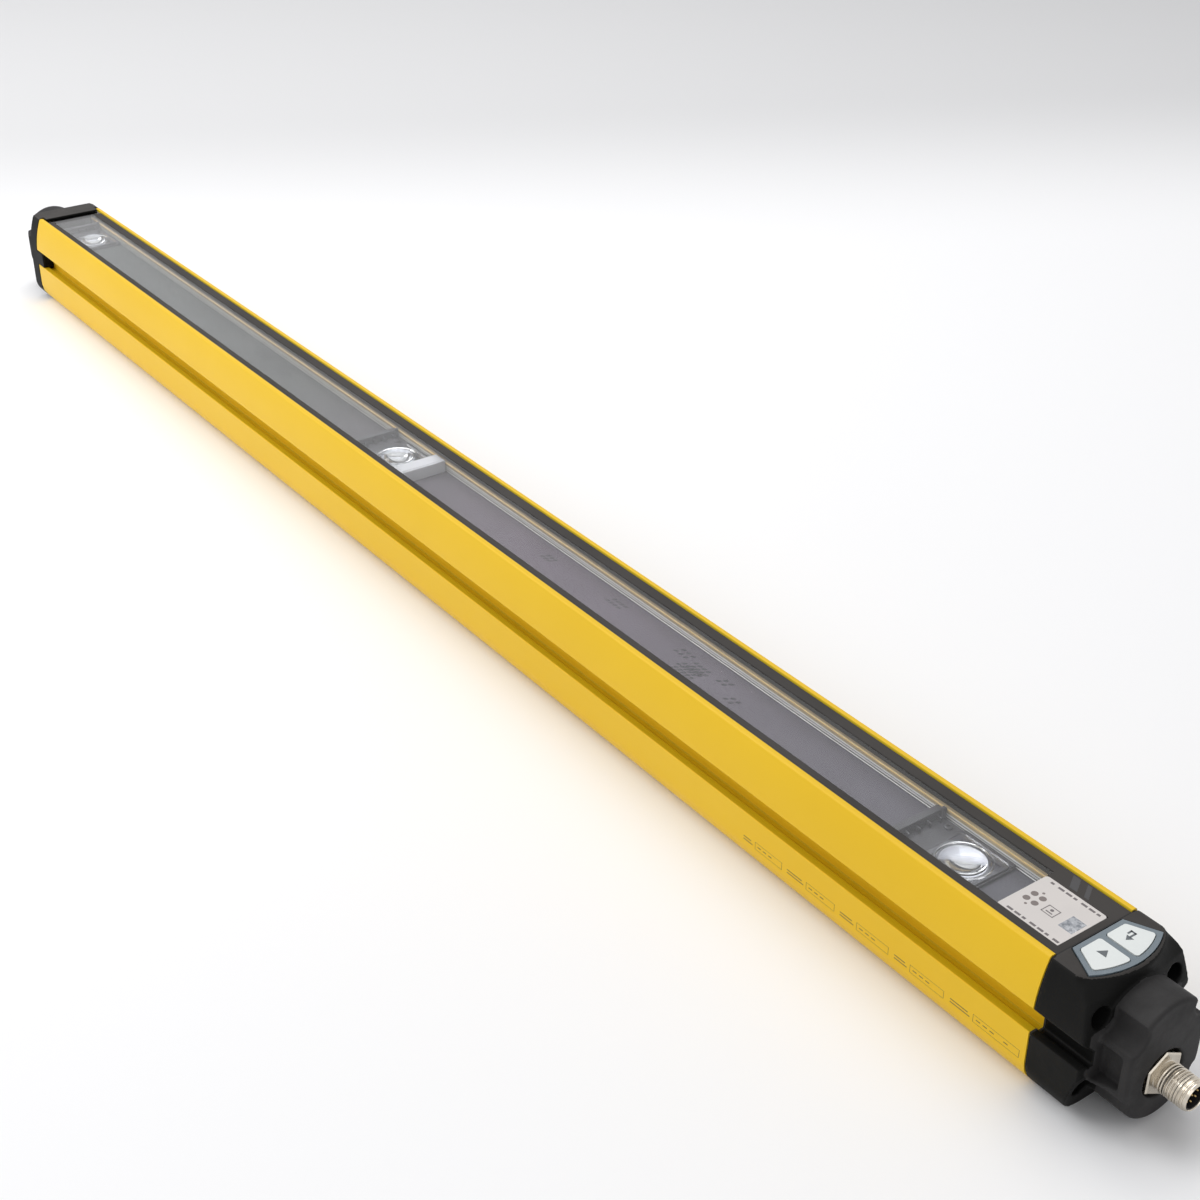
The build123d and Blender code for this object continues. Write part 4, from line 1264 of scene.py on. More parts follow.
    def wall_beads(self, start: float, end: float) -> None:
        """Add the fine beads that run along the channel's two walls.

        Args:
            start: Where they start along X.
            end: Where they end.
        """
        for bead in self.beads:
            level, thickness = bead.level, bead.thickness
            for side, word in ((-1, "near"), (1, "far")):
                wall = side * self.optics_half
                inner = side * (self.optics_half - thickness)
                outline = [(wall, level - thickness), (inner, level - thickness / 2),
                           (inner, level + thickness / 2), (wall, level + thickness)]
                if side > 0:
                    outline.reverse()
                name = f"wall_bead_{bead.word}_{word}"
                piece = drawn_section(name, outline, start + 1, end - 1, bead.finish)
                settle(piece, Body.BARRIER, "housing_paint")

    def flank_print(self, end: float) -> None:
        """Print plain boxes and bars low on the near flank, where the data fields stand.

        Args:
            end: Where the profile ends.
        """
        shape = Shape()
        face = -self.half_width

        def bar(start: float, stop: float, low: float, high: float) -> None:
            """One printed bar by its four sides."""
            shape.block((end + start, face - self.print_rise, low), (end + stop, face + 0.02, high), 0.0)

        line, inset = self.field_line, self.field_inset
        for start, middle, stop, base in self.fields:
            top = base + self.field_height
            for low in (base, top - line):
                bar(middle, stop, low, low + line)
            for place in (middle, stop - self.field_post):
                bar(place, place + self.field_post, base + line, top - line)
            for row in range(2):
                low = base + self.bar_base + row * self.bar_pitch
                bar(start, middle - inset - row, low, low + self.stroke)
            for index in range(int((stop - middle - 2 * inset) / self.dash_pitch)):
                if (index + 1) % self.dash_group:
                    place = middle + inset + index * self.dash_pitch
                    bar(place, place + self.dash, base + inset, base + inset + self.stroke)
        settle(shape.build("flank_print", [FLANK_PRINT]), Body.BARRIER, "housing_paint")


@dataclass
class WindowAndLabel:
    """The clear window, the dark strips over its edges and the label beside the keypad.

    Sizes are in millimetres, and places along X count from the profile's near end.
    """

    near_band: float = 3.6
    far_band: float = 5.0
    gasket_thickness: float = 0.25
    sunk: float = 0.01
    display_marks: tuple[Point2, ...] = ((21.0, 3.4), (14.5, 2.0))
    display_sides: Point2 = (11.2, 17.4)
    display_slant: float = 3.6
    label_corner: float = 1.2
    ink: float = 0.02
    dots: tuple[tuple[float, float, float, int], ...] = (
        (-25.8, -4.6, 1.35, 32), (-25.6, -0.8, 1.35, 32), (-22.0, -0.7, 1.35, 32), (-22.1, -4.6, 1.35, 32),
        (-23.8, 1.7, 0.55, 24), (-23.9, -7.1, 0.55, 24))
    square_dot: tuple[float, float, float, int] = (-16.0, -2.7, 0.7, 24)
    square_lines: tuple[tuple[float, float, float, float], ...] = (
        (-18.6, -13.4, -5.6, -5.25), (-18.6, -13.4, -1.35, -1.0), (-18.6, -18.25, -5.6, -1.0),
        (-13.75, -13.4, -5.6, -1.0), (-17.4, -14.6, -4.5, -4.0))
    patch: tuple[float, float, float, float] = (-9.9, -4.0, -6.7, 1.0)
    dash_rows: Point2 = (8.2, -13.2)
    dash_start: float = -26.5
    dash_pitch: float = 3.4
    dash_count: int = 7
    dash_lengths: tuple[float, float, float] = (1.5, 2.6, 2.6)

    def build(self) -> None:
        """Build the window, the strips and the label."""
        self.window()
        for node, side in (("window_bond_left", 1), ("window_bond_right", -1)):
            self.strip(node, side)
        self.gasket()
        self.display_fields()
        self.label()

    def window(self) -> None:
        """Build the clear plate with finely broken edges."""
        low, high = node_span("front_window")
        shape = Shape()
        shape.block(tuple(low), tuple(high), 0.18)
        settle(shape.build("window", [WINDOW_GLASS]), Body.BARRIER, "window_clear", "front_window")

    def strip(self, node: str, side: int) -> None:
        """Build the bonding strip under one long edge of the window.

        Args:
            node: The CAD node that it stands for.
            side: 1 for the far side, -1 for the near side.
        """
        low, high = node_span(node)
        inner, outer = sorted((abs(low.y), abs(high.y)))
        base, top = low.z + self.sunk, high.z - self.sunk
        corners = [(inner, base, 0.1), (outer, base, 0.0), (outer, top, 0.0), (inner, top, 0.1)]
        outline = [(side * y, z) for y, z in rounded_path(corners, 3)]
        if side < 0:
            outline.reverse()
        piece = drawn_section(f"bond_{'far' if side > 0 else 'near'}", outline, low.x, high.x, BOND)
        settle(piece, Body.BARRIER, "bond_dark", node)

    def gasket(self) -> None:
        """Build the thin dark band on the window: its long edges, its end and beside the label."""
        high = node_span("front_window")[1]
        start = node_span("far_end_cap")[1].x + 0.3
        rear, front = node_span("window_label")
        near, far, outer = -high.y + self.near_band, high.y - self.far_band, high.y - 0.02
        base, top = high.z - self.sunk, high.z + self.gasket_thickness
        shape = Shape()
        shape.block((start, -outer, base), (high.x, near, top), 0.08)
        shape.block((start, far, base), (high.x, outer, top), 0.08)
        shape.block((front.x + 0.1, near - 0.1, base), (high.x, far + 0.1, top - self.sunk), 0.08)
        shape.block((rear.x, front.y + 0.05, base), (front.x + 0.2, far + 0.1, top - self.sunk), 0.08)
        settle(shape.build("window_gasket", [BOND]), Body.BARRIER, "bond_dark")

    def display_fields(self) -> None:
        """Build the display's two slanting glossy fields on the band beside the label."""
        high = node_span("front_window")[1]
        top = high.z + self.gasket_thickness
        near, far = self.display_sides
        fields = Shape()
        for setback, width in self.display_marks:
            rear = high.x - setback
            front = rear + width
            corners = [(rear, near), (front, near), (front - self.display_slant, far),
                       (rear - self.display_slant, far)]
            fields.prism(corners, top - 0.1, top + self.ink)
        settle(fields.build("display_fields", [DISPLAY_FACE]), Body.BARRIER, "display_dark")

    def label(self) -> None:
        """Build the label with its plain printed marks."""
        low, high = node_span("window_label")
        end = node_span("housing_profile")[1].x
        corner = self.label_corner
        corners = [(low.x, low.y, corner), (high.x, low.y, corner), (high.x, high.y, corner),
                   (low.x, high.y, corner)]
        shape = Shape()
        shape.prism(rounded_path(corners, 5), low.z + 0.005, high.z, radius=0.05)
        settle(shape.build("label", [LABEL_PAPER]), Body.BARRIER, "label_pale", "window_label")
        base = high.z - self.sunk
        marks = Shape()

        def dot(x: float, y: float, radius: float, count: int, finish: int) -> None:
            """One printed dot."""
            rise = 2 * self.ink
            profile = [(0.0, 0.0, 0), (0.0, radius, 0), (rise, radius - 0.05, 0), (rise, 0.0, 0)]
            marks.turn(profile, (end + x, y, base), Along.UPWARDS, count=count, finish=finish)

        def patch(rear: float, front: float, near: float, far: float, finish: int = 0) -> None:
            """One printed patch by its four sides."""
            marks.block((end + rear, near, base), (end + front, far, high.z + self.ink), 0.0, finish)

        for spot in self.dots:
            dot(*spot, 1)
        for row, y in enumerate(self.dash_rows):
            for index in range(self.dash_count):
                x = self.dash_start + index * self.dash_pitch
                patch(x, x + self.dash_lengths[(index + row) % 3], y - 0.5, y + 0.5)
        for sides in self.square_lines:
            patch(*sides)
        dot(*self.square_dot, 0)
        patch(*self.patch, 2)
        settle(marks.build("label_marks", [LABEL_INK, LABEL_SPOT, SILVER_PATCH]), Body.BARRIER, "label_pale")


# Profile of the white cup that carries the painted reflection under each lens.
REFLECTION_CUP: tuple[Ring, ...] = (
    (0.95, 8.75, 0), (0.95, 8.3, 0), (-0.4, 7.2, 0), (-1.6, 5.2, 0), (-2.4, 3.0, 0), (-2.6, 1.2, 0),
    (-2.9, 1.2, 0), (-2.8, 3.2, 0), (-2.0, 5.5, 0), (-0.8, 7.5, 0), (0.5, 8.75, 0))
HOLDER_SCREW: tuple[Ring, ...] = (
    (0.0, 0.0, 0), (0.0, 1.7, 0), (0.7, 1.6, 0), (0.9, 1.2, 0), (0.9, 0.75, 6), (0.3, 0.75, 6),
    (0.3, 0.0, 0))
ZIGZAG: tuple[Point2, ...] = ((-1.0, -0.9), (0.0, -0.9), (1.0, 0.1), (1.0, 0.9), (0.0, 0.9), (-1.0, -0.1))


@dataclass
class OpticsTray:
    """The tray under the window with its optical modules.

    Sizes are in millimetres, and places along X count from the profile's near end.
    """

    lens_setbacks: tuple[float, ...] = (59.1, 459.1, 859.1)
    plate_half: float = 13.95
    plate_front: float = 12.4
    plate_height: float = 1.2
    rim_rise: float = 0.9
    bar_setback: float = 24.0
    bar_length: float = 3.4
    bar_height: float = 4.8
    clip_width: float = 1.4
    clip_rise: float = 1.2
    rib_count: int = 5
    rib_inset: float = 3.2
    rib_half: float = 0.4
    rib_height: float = 3.2
    tube_radius: float = 10.2
    tube_wall: float = 1.4
    lens_half: float = 12.0
    lens_play: float = 0.15
    lens_corner: float = 2.0
    lens_plate: float = 1.2
    ring_radius: float = 11.0
    ring_height: float = 0.6
    dome_foot: float = 9.6
    dome_radius: float = 8.75
    dome_rise: float = 3.6
    dome_steps: int = 18
    mark_pitch: Point2 = (2.6, 2.2)
    smudges: tuple[tuple[float, float, float, float], ...] = (
        (-334, -326, 5, 10), (-284, -273, 6, 12), (-233, -223, 5, 11), (-220, -209, 1, 8),
        (-204, -197, 5, 10), (-192, -185, -1, 4), (-224, -211, -5, 4), (-630, -615, 5, 12),
        (-602, -587, 2, 9),
    )
    level: float = field(init=False, default=0.0)

    def build(self) -> None:
        """Build the tray's marks and every module, and dress the nodes that stay."""
        dress("chassis_tray", TRAY)
        end = node_span("housing_profile")[1].x
        self.level = node_span("chassis_tray")[1].z
        self.zigzags(end)
        for index, setback in enumerate(self.lens_setbacks, start=1):
            self.holder(index, end - setback)
            self.lens(index, end - setback)
            self.reflection_cup(index, end - setback)
            self.diode(index, end - setback)
        self.guide()

    def zigzags(self, end: float) -> None:
        """Lay the faint zigzag marks on the tray.

        Args:
            end: Where the profile ends, in millimetres.
        """
        tile = Shape()
        tile.prism(ZIGZAG, 0.0, 0.05)
        spots = []
        for x0, x1, y0, y1 in self.smudges:
            columns = max(2, int((x1 - x0) / self.mark_pitch[0]))
            rows = max(2, int((y1 - y0) / self.mark_pitch[1]))
            for row in range(rows):
                for column in range(columns):
                    x = end + x0 + (column + 0.5 * (row % 2)) * (x1 - x0) / columns
                    spots.append((x, y0 + row * (y1 - y0) / rows, self.level))
        piece = repeated("tray_zigzags", tile.build("zigzag", [TRAY_SMUDGE]), spots, TRAY_SMUDGE)
        settle(piece, Body.BARRIER, "tray_grey")

    def holder(self, index: int, x: float) -> None:
        """Build one lens holder: plate, rim, clips, raised bar and tube.

        Args:
            index: Which module.
            x: The beam's place.
        """
        base, top = self.level, self.level + self.plate_height
        rear, front, half = x - self.bar_setback, x + self.plate_front, self.plate_half
        inner = self.lens_half + self.lens_play
        rim, bar_top = top + self.rim_rise, base + self.bar_height
        clip_top = bar_top + self.clip_rise
        shape = Shape()
        shape.block((rear, -half, base), (x - inner, half, top))
        for low, high in ((-half, -inner), (inner, half)):
            shape.block((x - inner - 0.3, low, base), (x + inner + 0.2, high, rim))
        shape.block((rear - self.bar_length, -half, base), (rear, half, bar_top), 0.35)
        for low, high in ((-half, -half + self.clip_width), (half - self.clip_width, half)):
            shape.block((rear - 0.2, low, base), (rear + 1.6, high, clip_top), 0.3)
        for step in range(self.rib_count):
            y = -half + self.rib_inset + step * 2 * (half - self.rib_inset) / (self.rib_count - 1)
            low, high = y - self.rib_half, y + self.rib_half
            shape.block((rear - 0.1, low, base), (rear + 2.4, high, base + self.rib_height), 0.15)
        for side in (-1, 1):
            spot = (rear + 6.0, side * (half - 3.4), top - 0.05)
            shape.turn(HOLDER_SCREW, spot, Along.UPWARDS, count=36)
        tube, bore = self.tube_radius, self.tube_radius - self.tube_wall
        foot, head = node_span(f"lens_holder_{index}")[0].z - base, self.plate_height - 0.05
        shape.turn([(foot, tube, 0), (head, tube, 0), (head, bore, 0), (foot, bore, 0)], (x, 0.0, base),
                   Along.UPWARDS, ring=True, count=72)
        shape.block((x - inner, -inner, base), (x - tube + 0.7, inner, top - 0.02), 0.1)
        shape.block((x + tube - 0.7, -inner, base), (front, inner, top - 0.02), 0.1)
        for low, high in ((-inner, -tube + 0.9), (tube - 0.9, inner)):
            shape.block((x - tube, low, base), (x + tube, high, top - 0.03), 0.1)
        settle(shape.build(f"holder_{index}", [HOLDER_PLASTIC]), Body.BARRIER, "holder_dark",
               f"lens_holder_{index}")

    def lens(self, index: int, x: float) -> None:
        """Build one clear lens: square plate with rounded corners, ring, fine steps and dome.

        Args:
            index: Which module.
            x: The beam's place.
        """
        base = self.level + self.plate_height
        plate, half, corner = self.lens_plate, self.lens_half, self.lens_corner
        shape = Shape()
        corners = [(x - half, -half, corner), (x + half, -half, corner), (x + half, half, corner),
                   (x - half, half, corner)]
        shape.prism(rounded_path(corners, 6), base + 0.02, base + plate, radius=0.2)
        settle(shape.build(f"lens_plate_{index}", [LENS_PLASTIC]), Body.BARRIER, "lens_clear")
        dome = Shape()
        radius = (self.dome_radius ** 2 + self.dome_rise ** 2) / (2 * self.dome_rise)
        ring, crest = self.ring_radius, self.ring_height
        profile = [(0.0, 0.0, 0), (0.0, ring, 0), (crest - 0.15, ring, 0), (crest, ring - 0.2, 0),
                   (crest, ring - 0.9, 0), (0.1, self.dome_foot, 0)]
        for step in range(self.dome_steps):
            reach = self.dome_radius * (1 - step / self.dome_steps)
            rise = self.dome_rise - radius + math.sqrt(radius ** 2 - reach ** 2)
            profile.append((rise + 0.1, reach, 0))
        profile.append((self.dome_rise + 0.1, 0.0, 0))
        dome.turn(profile, (x, 0.0, base + plate + 0.02), Along.UPWARDS, count=96)
        settle(dome.build(f"lens_dome_{index}", [LENS_PLASTIC], 28.0), Body.BARRIER, "lens_clear",
               f"lens_{index}")

    def reflection_cup(self, index: int, x: float) -> None:
        """Build the bright cup under one lens, open round the beam's axis; its white is a painted reflection
        of the lamp in the lens.

        Args:
            index: Which module.
            x: The beam's place.
        """
        shape = Shape()
        shape.turn(REFLECTION_CUP, (x, 0.0, self.level), Along.UPWARDS, ring=True, count=72)
        settle(shape.build(f"reflector_{index}", [LENS_REFLECTION_WHITE]), Body.BARRIER, "lens_clear")

    def diode(self, index: int, x: float) -> None:
        """Build one diode with its collar, and dress its board.

        Args:
            index: Which module.
            x: The beam's place.
        """
        dress(f"diode_board_{index}", BOARD)
        low, high = node_span(f"diode_{index}")
        collar = (high.y - low.y) / 2
        bulb = collar - 0.25
        tall = high.z - low.z
        profile = [(0.0, 0.0, 0), (0.0, collar, 0), (0.7, collar, 0), (0.75, bulb, 0)]
        profile += [(tall - bulb + bulb * math.sin(a), bulb * math.cos(a), 0)
                    for a in (math.pi / 16 * step for step in range(8))]
        profile.append((tall, 0.0, 0))
        shape = Shape()
        shape.turn(profile, (x, 0.0, low.z), Along.UPWARDS)
        settle(shape.build(f"diode_cap_{index}", [DIODE_RESIN]), Body.BARRIER, "diode_clear",
               f"diode_{index}")

    def guide(self) -> None:
        """Build the milky block beside the middle lens."""
        low, high = node_span("light_guide")
        shape = Shape()
        shape.block(tuple(low), tuple(high), 0.5, steps=3)
        shape.block((low.x + 1.0, low.y + 1.0, high.z - 0.2),
                    (high.x - 1.0, high.y - 1.0, high.z + 0.25), 0.15)
        settle(shape.build("milky_block", [MILKY]), Body.BARRIER, "guide_milky", "light_guide")


@dataclass
class CapScrews:
    """Socket-head screws of one end cap, with their spots in (Y, Z) and sizes in millimetres."""

    node: str
    name: str
    heads_towards: Along
    spots: tuple[Point2, ...] = ((-17.6, 42.3), (17.6, 42.3), (-19.3, 12.5), (19.3, 12.5))
    head_radius: float = 3.5
    head_height: float = 3.0
    thread_radius: float = 1.68
    thread_depth: float = 0.25
    thread_pitch: float = 0.7
    socket_radius: float = 1.4

    def build(self) -> None:
        """Build one screw with a socket head and a threaded shank, and repeat it."""
        low, high = node_span(self.node)
        length = high.x - low.x
        seat = length - self.head_height
        head, thread, socket = self.head_radius, self.thread_radius, self.socket_radius
        profile: list[Ring] = [(0.0, 0.0, 0), (0.0, thread - 0.4, 0)]
        turns = int(seat / self.thread_pitch)
        for turn in range(turns):
            start = 0.3 + turn * seat / turns
            profile += [(start, thread - self.thread_depth, 0), (start + 0.3, thread, 0)]
        profile += [(seat, thread, 0), (seat, head - 0.15, 0), (seat + 0.15, head, 0),
                    (length - 0.4, head, 0), (length - 0.1, head - 0.25, 0), (length, head - 0.55, 0),
                    (length, socket + 0.35, 0), (length - 0.25, socket, 6), (length - 1.8, socket, 6),
                    (length - 2.2, 0.0, 0)]
        shape = Shape()
        shape.turn(profile, (0.0, 0.0, 0.0), self.heads_towards, count=48)
        screw = shape.build("one_screw", [SCREW_STEEL])
        foot = low.x if self.heads_towards is Along.LENGTHWISE else high.x
        piece = repeated(self.name, screw, [(foot, y, z) for y, z in self.spots], SCREW_STEEL)
        settle(piece, Body.BARRIER, "screw_dark", self.node)


@dataclass
class ConnectorEnd:
    """The cap at the plug end with its keypad.

    Sizes are in millimetres, and places along X count from the profile's near end.
    """

    boss_shoulder: float = 21.5
    grid: float = 0.5
    softening: int = 3
    triangle: tuple[Point2, ...] = ((7.2, -7.5), (9.3, -4.1), (11.2, -7.3))
    arrow_head: tuple[Point2, ...] = ((7.6, 6.9), (9.1, 4.6), (10.6, 6.9))
    arrow_bars: tuple[tuple[float, float, float, float], ...] = (
        (8.7, 9.4, 6.6, 9.9), (7.0, 9.4, 9.2, 9.9), (7.0, 7.7, 7.6, 9.9))
    mark_lift: float = 0.06
    mark_sunk: float = 0.01

    def build(self) -> None:
        """Build the cap, its screws and the keypad."""
        cap = moulded_copy("connector_cap", "plug_end_cap", CAP_PLASTIC, self.grid, self.softening)
        painted_crown_sheen(cap)
        duller_boss(cap, node_span("housing_profile")[1].x + self.boss_shoulder, 1.0)
        settle(cap, Body.BARRIER, "cap_dark", "connector_cap")
        dress("connector_cap_seal", SEAL_RUBBER)
        CapScrews("connector_cap_screws", "plug_end_screws", Along.LENGTHWISE).build()
        self.keypad()
        dress("key_board", BOARD)
        dress("key_switches", SWITCH_PLASTIC)
        dress("keypad_flex", FLEX_FOIL)

    def keypad(self) -> None:
        """Dress the bezel and keys and lay the marks on the keys."""
        dress("keypad_frame", KEYPAD_FOIL)
        dress("select_key", KEY_FOIL)
        dress("confirm_key", KEY_FOIL)
        end = node_span("housing_profile")[1].x
        level = node_span("select_key")[1].z
        base, top = level - self.mark_sunk, level + self.mark_lift
        triangle = Shape()
        triangle.prism([(end + x, y) for x, y in self.triangle], base, top)
        settle(triangle.build("select_mark", [KEY_MARK]), Body.SELECT_KEY, "key_pale")
        arrow = Shape()
        for rear, front, near, far in self.arrow_bars:
            arrow.block((end + rear, near, base), (end + front, far, top), 0.0)
        arrow.prism([(end + x, y) for x, y in self.arrow_head], base, top)
        settle(arrow.build("confirm_mark", [KEY_MARK]), Body.CONFIRM_KEY, "key_pale")


@dataclass
class RoundPlug:
    """The round plug: threaded shell, insert and pins.

    Sizes are in millimetres, and places along X count from the front of the cap's boss.
    """

    height: float = 20.1
    bore: float = 4.7
    tail: float = -16.0
    tip: float = 13.4
    barrel: float = 5.55
    flange: float = 8.0
    sleeve: float = 6.8
    thread_radius: float = 5.5
    thread_ridge: float = 0.38
    thread_turns: float = 10.0
    thread_length: float = 10.4
    thread_start: float = 2.2
    insert_face: float = 5.25
    pin_count: int = 7
    pin_circle: float = 2.75
    pin_radius: float = 0.4
    pin_start: float = -5.0
    pin_length: float = 17.0
    face: float = field(init=False, default=0.0)

    def build(self) -> None:
        """Build every piece of the plug."""
        self.face = node_span("connector_cap")[1].x
        self.shell()
        self.insert()
        self.pins()
        dress("plug_seal", SEAL_RUBBER)
        dress("plug_harness", WIRE_SLEEVE)

    def shell(self) -> None:
        """Build the nickelled shell and its thread."""
        bore, tail, tip, barrel = self.bore, self.tail, self.tip, self.barrel
        flange, neck = self.flange, self.barrel - 0.25
        profile = [(tail, self.sleeve, 0), (-4.0, self.sleeve, 0), (-4.0, flange - 0.4, 6), (-3.6, flange, 6),
                   (-0.1, flange, 6), (0.4, flange - 0.5, 6), (0.4, neck + 0.3, 0), (0.6, neck, 0),
                   (1.6, neck, 0), (2.0, barrel, 0), (tip - 0.7, barrel, 0), (tip, 5.0, 0), (tip, 4.95, 0),
                   (tip - 0.3, bore, 0), (tail, bore, 0)]
        shape = Shape()
        shape.turn(profile, (self.face, 0.0, self.height), Along.LENGTHWISE, ring=True, count=96)
        settle(shape.build("plug_barrel", [NICKEL], 28.0), Body.BARRIER, "plug_nickel", "plug_shell")
        values = {
            "Radius": self.thread_radius * MM, "Ridge": self.thread_ridge * MM, "Turns": self.thread_turns,
            "Length": self.thread_length * MM, "Start": (self.face + self.thread_start) * MM,
            "Height": self.height * MM, "Finish": NICKEL.material(),
        }
        seed = carrier_mesh("thread_seed", [(0.0, 0.0, 0.0)])
        thread = TREES["thread"].grow(seed, "plug_thread", values, 50.0)
        settle(thread, Body.BARRIER, "plug_nickel")

    def insert(self) -> None:
        """Build the insert with its rim, collars round the pins and coding rib."""
        radius, face, axis = self.bore - 0.03, self.insert_face, (self.face, 0.0, self.height)
        rear = self.tail + 0.1
        shape = Shape()
        shape.turn([(rear, 0.0, 0), (rear, radius, 0), (face - 0.15, radius, 0),
                    (face + 0.15, radius - 0.3, 0), (face + 0.15, radius - 0.7, 0),
                    (face, radius - 0.8, 0), (face, 0.0, 0)], axis, Along.LENGTHWISE, count=72)
        for y, z in self.pin_spots():
            shape.turn([(face - 0.05, 0.0, 0), (face - 0.05, 0.75, 0), (face + 0.35, 0.72, 0),
                        (face + 0.4, 0.6, 0), (face + 0.4, 0.0, 0)],
                       (self.face, y, z), Along.LENGTHWISE, count=24)
        start, stop = face + 0.05, self.tip - 0.5
        shape.turn([(start, radius, 0), (stop, radius, 0), (stop, radius - 0.3, 0), (start, radius - 0.3, 0)],
                   axis, Along.LENGTHWISE, ring=True, count=72)
        shape.block((self.face + face - 0.25, -0.6, self.height + radius - 1.2),
                    (self.face + self.tip - 1.2, 0.6, self.height + radius - 0.05), 0.2)
        settle(shape.build("insert", [INSERT_PLASTIC]), Body.BARRIER, "insert_dark", "plug_insert")

    def pin_spots(self) -> list[Point2]:
        """Places of the pins in (Y, Z): one in the middle and the others round it."""
        spots = [(0.0, self.height)]
        for index in range(self.pin_count):
            angle = 2 * math.pi * (index + 0.5) / self.pin_count + math.pi / 2
            spots.append((self.pin_circle * math.cos(angle), self.height + self.pin_circle * math.sin(angle)))
        return spots

    def pins(self) -> None:
        """Build one pin with a rounded tip and repeat it."""
        radius, length = self.pin_radius, self.pin_length
        shape = Shape()
        profile = [(0.0, 0.0, 0), (0.0, radius, 0), (length - 0.6, radius, 0),
                   (length - 0.2, radius * 0.75, 0), (length, radius * 0.4, 0), (length, 0.0, 0)]
        shape.turn(profile, (0.0, 0.0, 0.0), Along.LENGTHWISE, count=24)
        spots = [(self.face + self.pin_start, y, z) for y, z in self.pin_spots()]
        piece = repeated("contact_pins", shape.build("one_pin", [GOLD]), spots, GOLD)
        settle(piece, Body.BARRIER, "pin_gold", "plug_pins")


@dataclass
class FarEnd:
    """The cap at the far end, with sizes in millimetres."""

    boss_shoulder: float = 12.2
    grid: float = 0.55
    softening: int = 3

    def build(self) -> None:
        """Build the cap and its screws and dress the seal."""
        cap = moulded_copy("far_end_cap", "far_cap", CAP_PLASTIC, self.grid, self.softening)
        painted_crown_sheen(cap)
        duller_boss(cap, node_span("housing_profile")[0].x - self.boss_shoulder, -1.0)
        settle(cap, Body.BARRIER, "cap_dark", "far_end_cap")
        dress("far_cap_seal", SEAL_RUBBER)
        CapScrews("far_cap_screws", "far_end_screws", Along.TO_FAR_END).build()


@dataclass
class InnerWorks:
    """The boards and blocks behind the tray and the window's edge, with sizes in millimetres."""

    segments: tuple[tuple[float, float, float, float], ...] = (
        (0.0, 0.7, 0.6, 2.6), (0.0, 0.7, 3.2, 5.2), (3.6, 4.3, 0.6, 2.6), (3.6, 4.3, 3.2, 5.2),
        (0.6, 3.7, 0.2, 0.8), (0.6, 3.7, 2.6, 3.2), (0.6, 3.7, 5.0, 5.6))
    digit_start: Point2 = (3.0, 0.6)
    digit_pitch: float = 7.0
    digit_count: int = 2
    digit_lift: float = 0.06

    def build(self) -> None:
        """Dress the main board and build the status display."""
        dress("main_board", BOARD)
        low, high = node_span("status_display")
        shape = Shape()
        shape.block(tuple(low), tuple(high), 0.3)
        for index in range(self.digit_count):
            x = low.x + self.digit_start[0] + index * self.digit_pitch
            y = low.y + self.digit_start[1]
            for rear, front, near, far in self.segments:
                shape.block((x + rear, y + near, high.z - 0.05),
                            (x + front, y + far, high.z + self.digit_lift), 0.0, finish=1)
        settle(shape.build("status_block", [DISPLAY_FACE, LABEL_INK]), Body.BARRIER, "display_dark",
               "status_display")


@dataclass(frozen=True)
class Lamp:
    """A large soft lamp: place, target and side in metres, power in watts."""

    name: str
    place: Point3
    target: Point3
    size: float
    power: float

    def build(self) -> None:
        """Put the lamp up."""
        light = bpy.data.lights.new(self.name, "AREA")
        light.size = self.size
        light.energy = self.power
        made = bpy.data.objects.new(self.name, light)
        made.location = self.place
        made.rotation_euler = (Vector(self.target) - Vector(self.place)).to_track_quat("-Z", "Y").to_euler()
        bpy.context.scene.collection.objects.link(made)


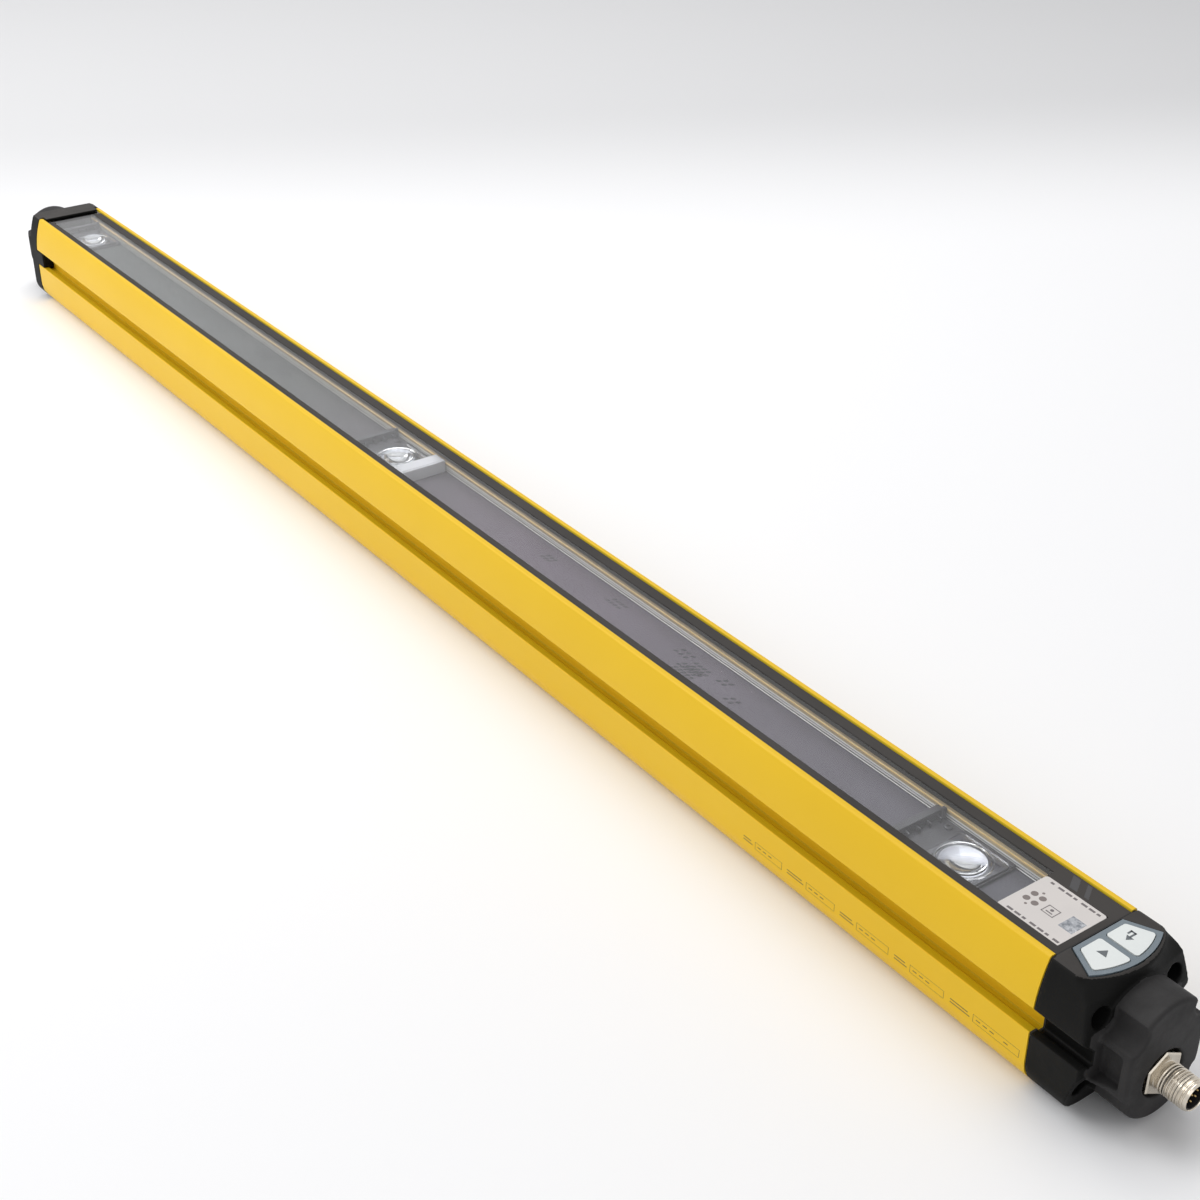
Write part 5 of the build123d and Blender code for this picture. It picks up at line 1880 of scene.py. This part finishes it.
@dataclass
class Studio:
    """Floor, backdrop light and camera, in metres and radians."""

    camera_place: Point3 = (0.73025, -0.40419, 0.45626)
    yaw: float = -0.9523
    pitch: float = 0.5299
    lens: float = 55.14
    lamps: tuple[Lamp, ...] = (
        Lamp("key_lamp", (-1.25, -1.3, 1.5), (-0.25, 0.0, 0.03), 1.6, 30.0),
        Lamp("top_lamp", (-0.6, 0.4, 2.1), (-0.1, 0.0, 0.03), 1.8, 24.0),
        Lamp("plug_lamp", (1.9, -0.5, 0.9), (0.4, 0.0, 0.03), 0.9, 2.6))
    floor_half: float = 8.0
    floor_level: float = -0.0004
    floor_colour: RGB = field(default_factory=lambda: srgb(248, 248, 249))
    shaded_back_colour: RGB = field(default_factory=lambda: srgb(219, 219, 220))
    backwards: Point3 = (-0.89, 0.46, 0.0)
    fade_start: float = 0.4
    fade_end: float = 0.82
    soft_colour: RGB = (0.98, 0.985, 1.0)
    soft_strength: float = 0.4
    seen_colour: RGB = (0.84, 0.84, 0.85)

    def build(self) -> None:
        """Build the floor, the world, the lamps and the camera."""
        self.floor()
        self.world()
        for lamp in self.lamps:
            lamp.build()
        self.camera()

    def floor(self) -> None:
        """Lay a wide pale floor with painted shade: it greys softly towards the back, where the lamps' light
        falls off.
        """
        mesh = bpy.data.meshes.new("floor")
        size, level = self.floor_half, self.floor_level
        corners = [(-size, -size, level), (size, -size, level), (size, size, level), (-size, size, level)]
        mesh.from_pydata(corners, [], [(0, 1, 2, 3)])
        made = bpy.data.materials.new("floor_paper")
        made.use_nodes = True
        shader = made.node_tree.nodes["Principled BSDF"]
        tree = made.node_tree
        place = add_node(tree, "ShaderNodeTexCoord").outputs["Object"]
        away = add_node(tree, "ShaderNodeVectorMath", {0: place, 1: self.backwards}, operation="DOT_PRODUCT")
        share = add_node(tree, "ShaderNodeMapRange", {
            "Value": away.outputs["Value"], "From Min": self.fade_start, "From Max": self.fade_end},
            interpolation_type="SMOOTHSTEP")
        # Painted shade: the floor's colour darkens towards the back.
        painted_falloff = add_node(tree, "ShaderNodeMix", {
            0: share.outputs[0], 6: (*self.floor_colour, 1.0), 7: (*self.shaded_back_colour, 1.0)}, data_type="RGBA")
        tree.links.new(painted_falloff.outputs[2], shader.inputs["Base Color"])
        shader.inputs["Roughness"].default_value = 0.9
        shader.inputs["Specular IOR Level"].default_value = 0.1
        mesh.materials.append(made)
        floor = bpy.data.objects.new("floor", mesh)
        bpy.context.scene.collection.objects.link(floor)

    def world(self) -> None:
        """Light the scene softly from all round, with white behind it for the camera and in reflections."""
        world = bpy.data.worlds.new("studio")
        world.use_nodes = True
        bpy.context.scene.world = world
        tree = world.node_tree
        tree.nodes.clear()
        path = add_node(tree, "ShaderNodeLightPath")
        seen = add_node(tree, "ShaderNodeMath", {
            0: path.outputs["Is Camera Ray"], 1: path.outputs["Is Glossy Ray"]}, operation="MAXIMUM")
        seen = add_node(tree, "ShaderNodeMath", {
            0: seen.outputs[0], 1: path.outputs["Is Transmission Ray"]}, operation="MAXIMUM")
        soft = add_node(tree, "ShaderNodeBackground", {
            "Color": (*self.soft_colour, 1.0), "Strength": self.soft_strength})
        white = add_node(tree, "ShaderNodeBackground", {"Color": (*self.seen_colour, 1.0), "Strength": 1.0})
        mix = add_node(tree, "ShaderNodeMixShader", {
            0: seen.outputs[0], 1: soft.outputs[0], 2: white.outputs[0]})
        out = add_node(tree, "ShaderNodeOutputWorld")
        tree.links.new(mix.outputs[0], out.inputs["Surface"])

    def camera(self) -> None:
        """Set the camera at the photograph's place and angle."""
        view = bpy.data.cameras.new("photo_camera")
        view.lens = self.lens
        view.sensor_width = 36.0
        view.sensor_fit = "HORIZONTAL"
        view.clip_start = 0.01
        view.clip_end = 50.0
        made = bpy.data.objects.new("photo_camera", view)
        made.location = self.camera_place
        level = math.cos(self.pitch)
        ahead = Vector((math.sin(self.yaw) * level, math.cos(self.yaw) * level, -math.sin(self.pitch)))
        made.rotation_euler = ahead.to_track_quat("-Z", "Y").to_euler()
        bpy.context.scene.collection.objects.link(made)
        bpy.context.scene.camera = made


def main() -> None:
    """Build every sub-assembly, then the studio."""
    logging.basicConfig(level=logging.INFO, format="%(name)s %(message)s")
    bpy.context.scene.view_settings.view_transform = "Standard"
    builders: list[Callable[[], None]] = [
        HousingProfile().build, WindowAndLabel().build, OpticsTray().build, InnerWorks().build,
        ConnectorEnd().build, RoundPlug().build, FarEnd().build, Studio().build,
    ]
    for build in builders:
        build()


if __name__ == "__main__":
    main()
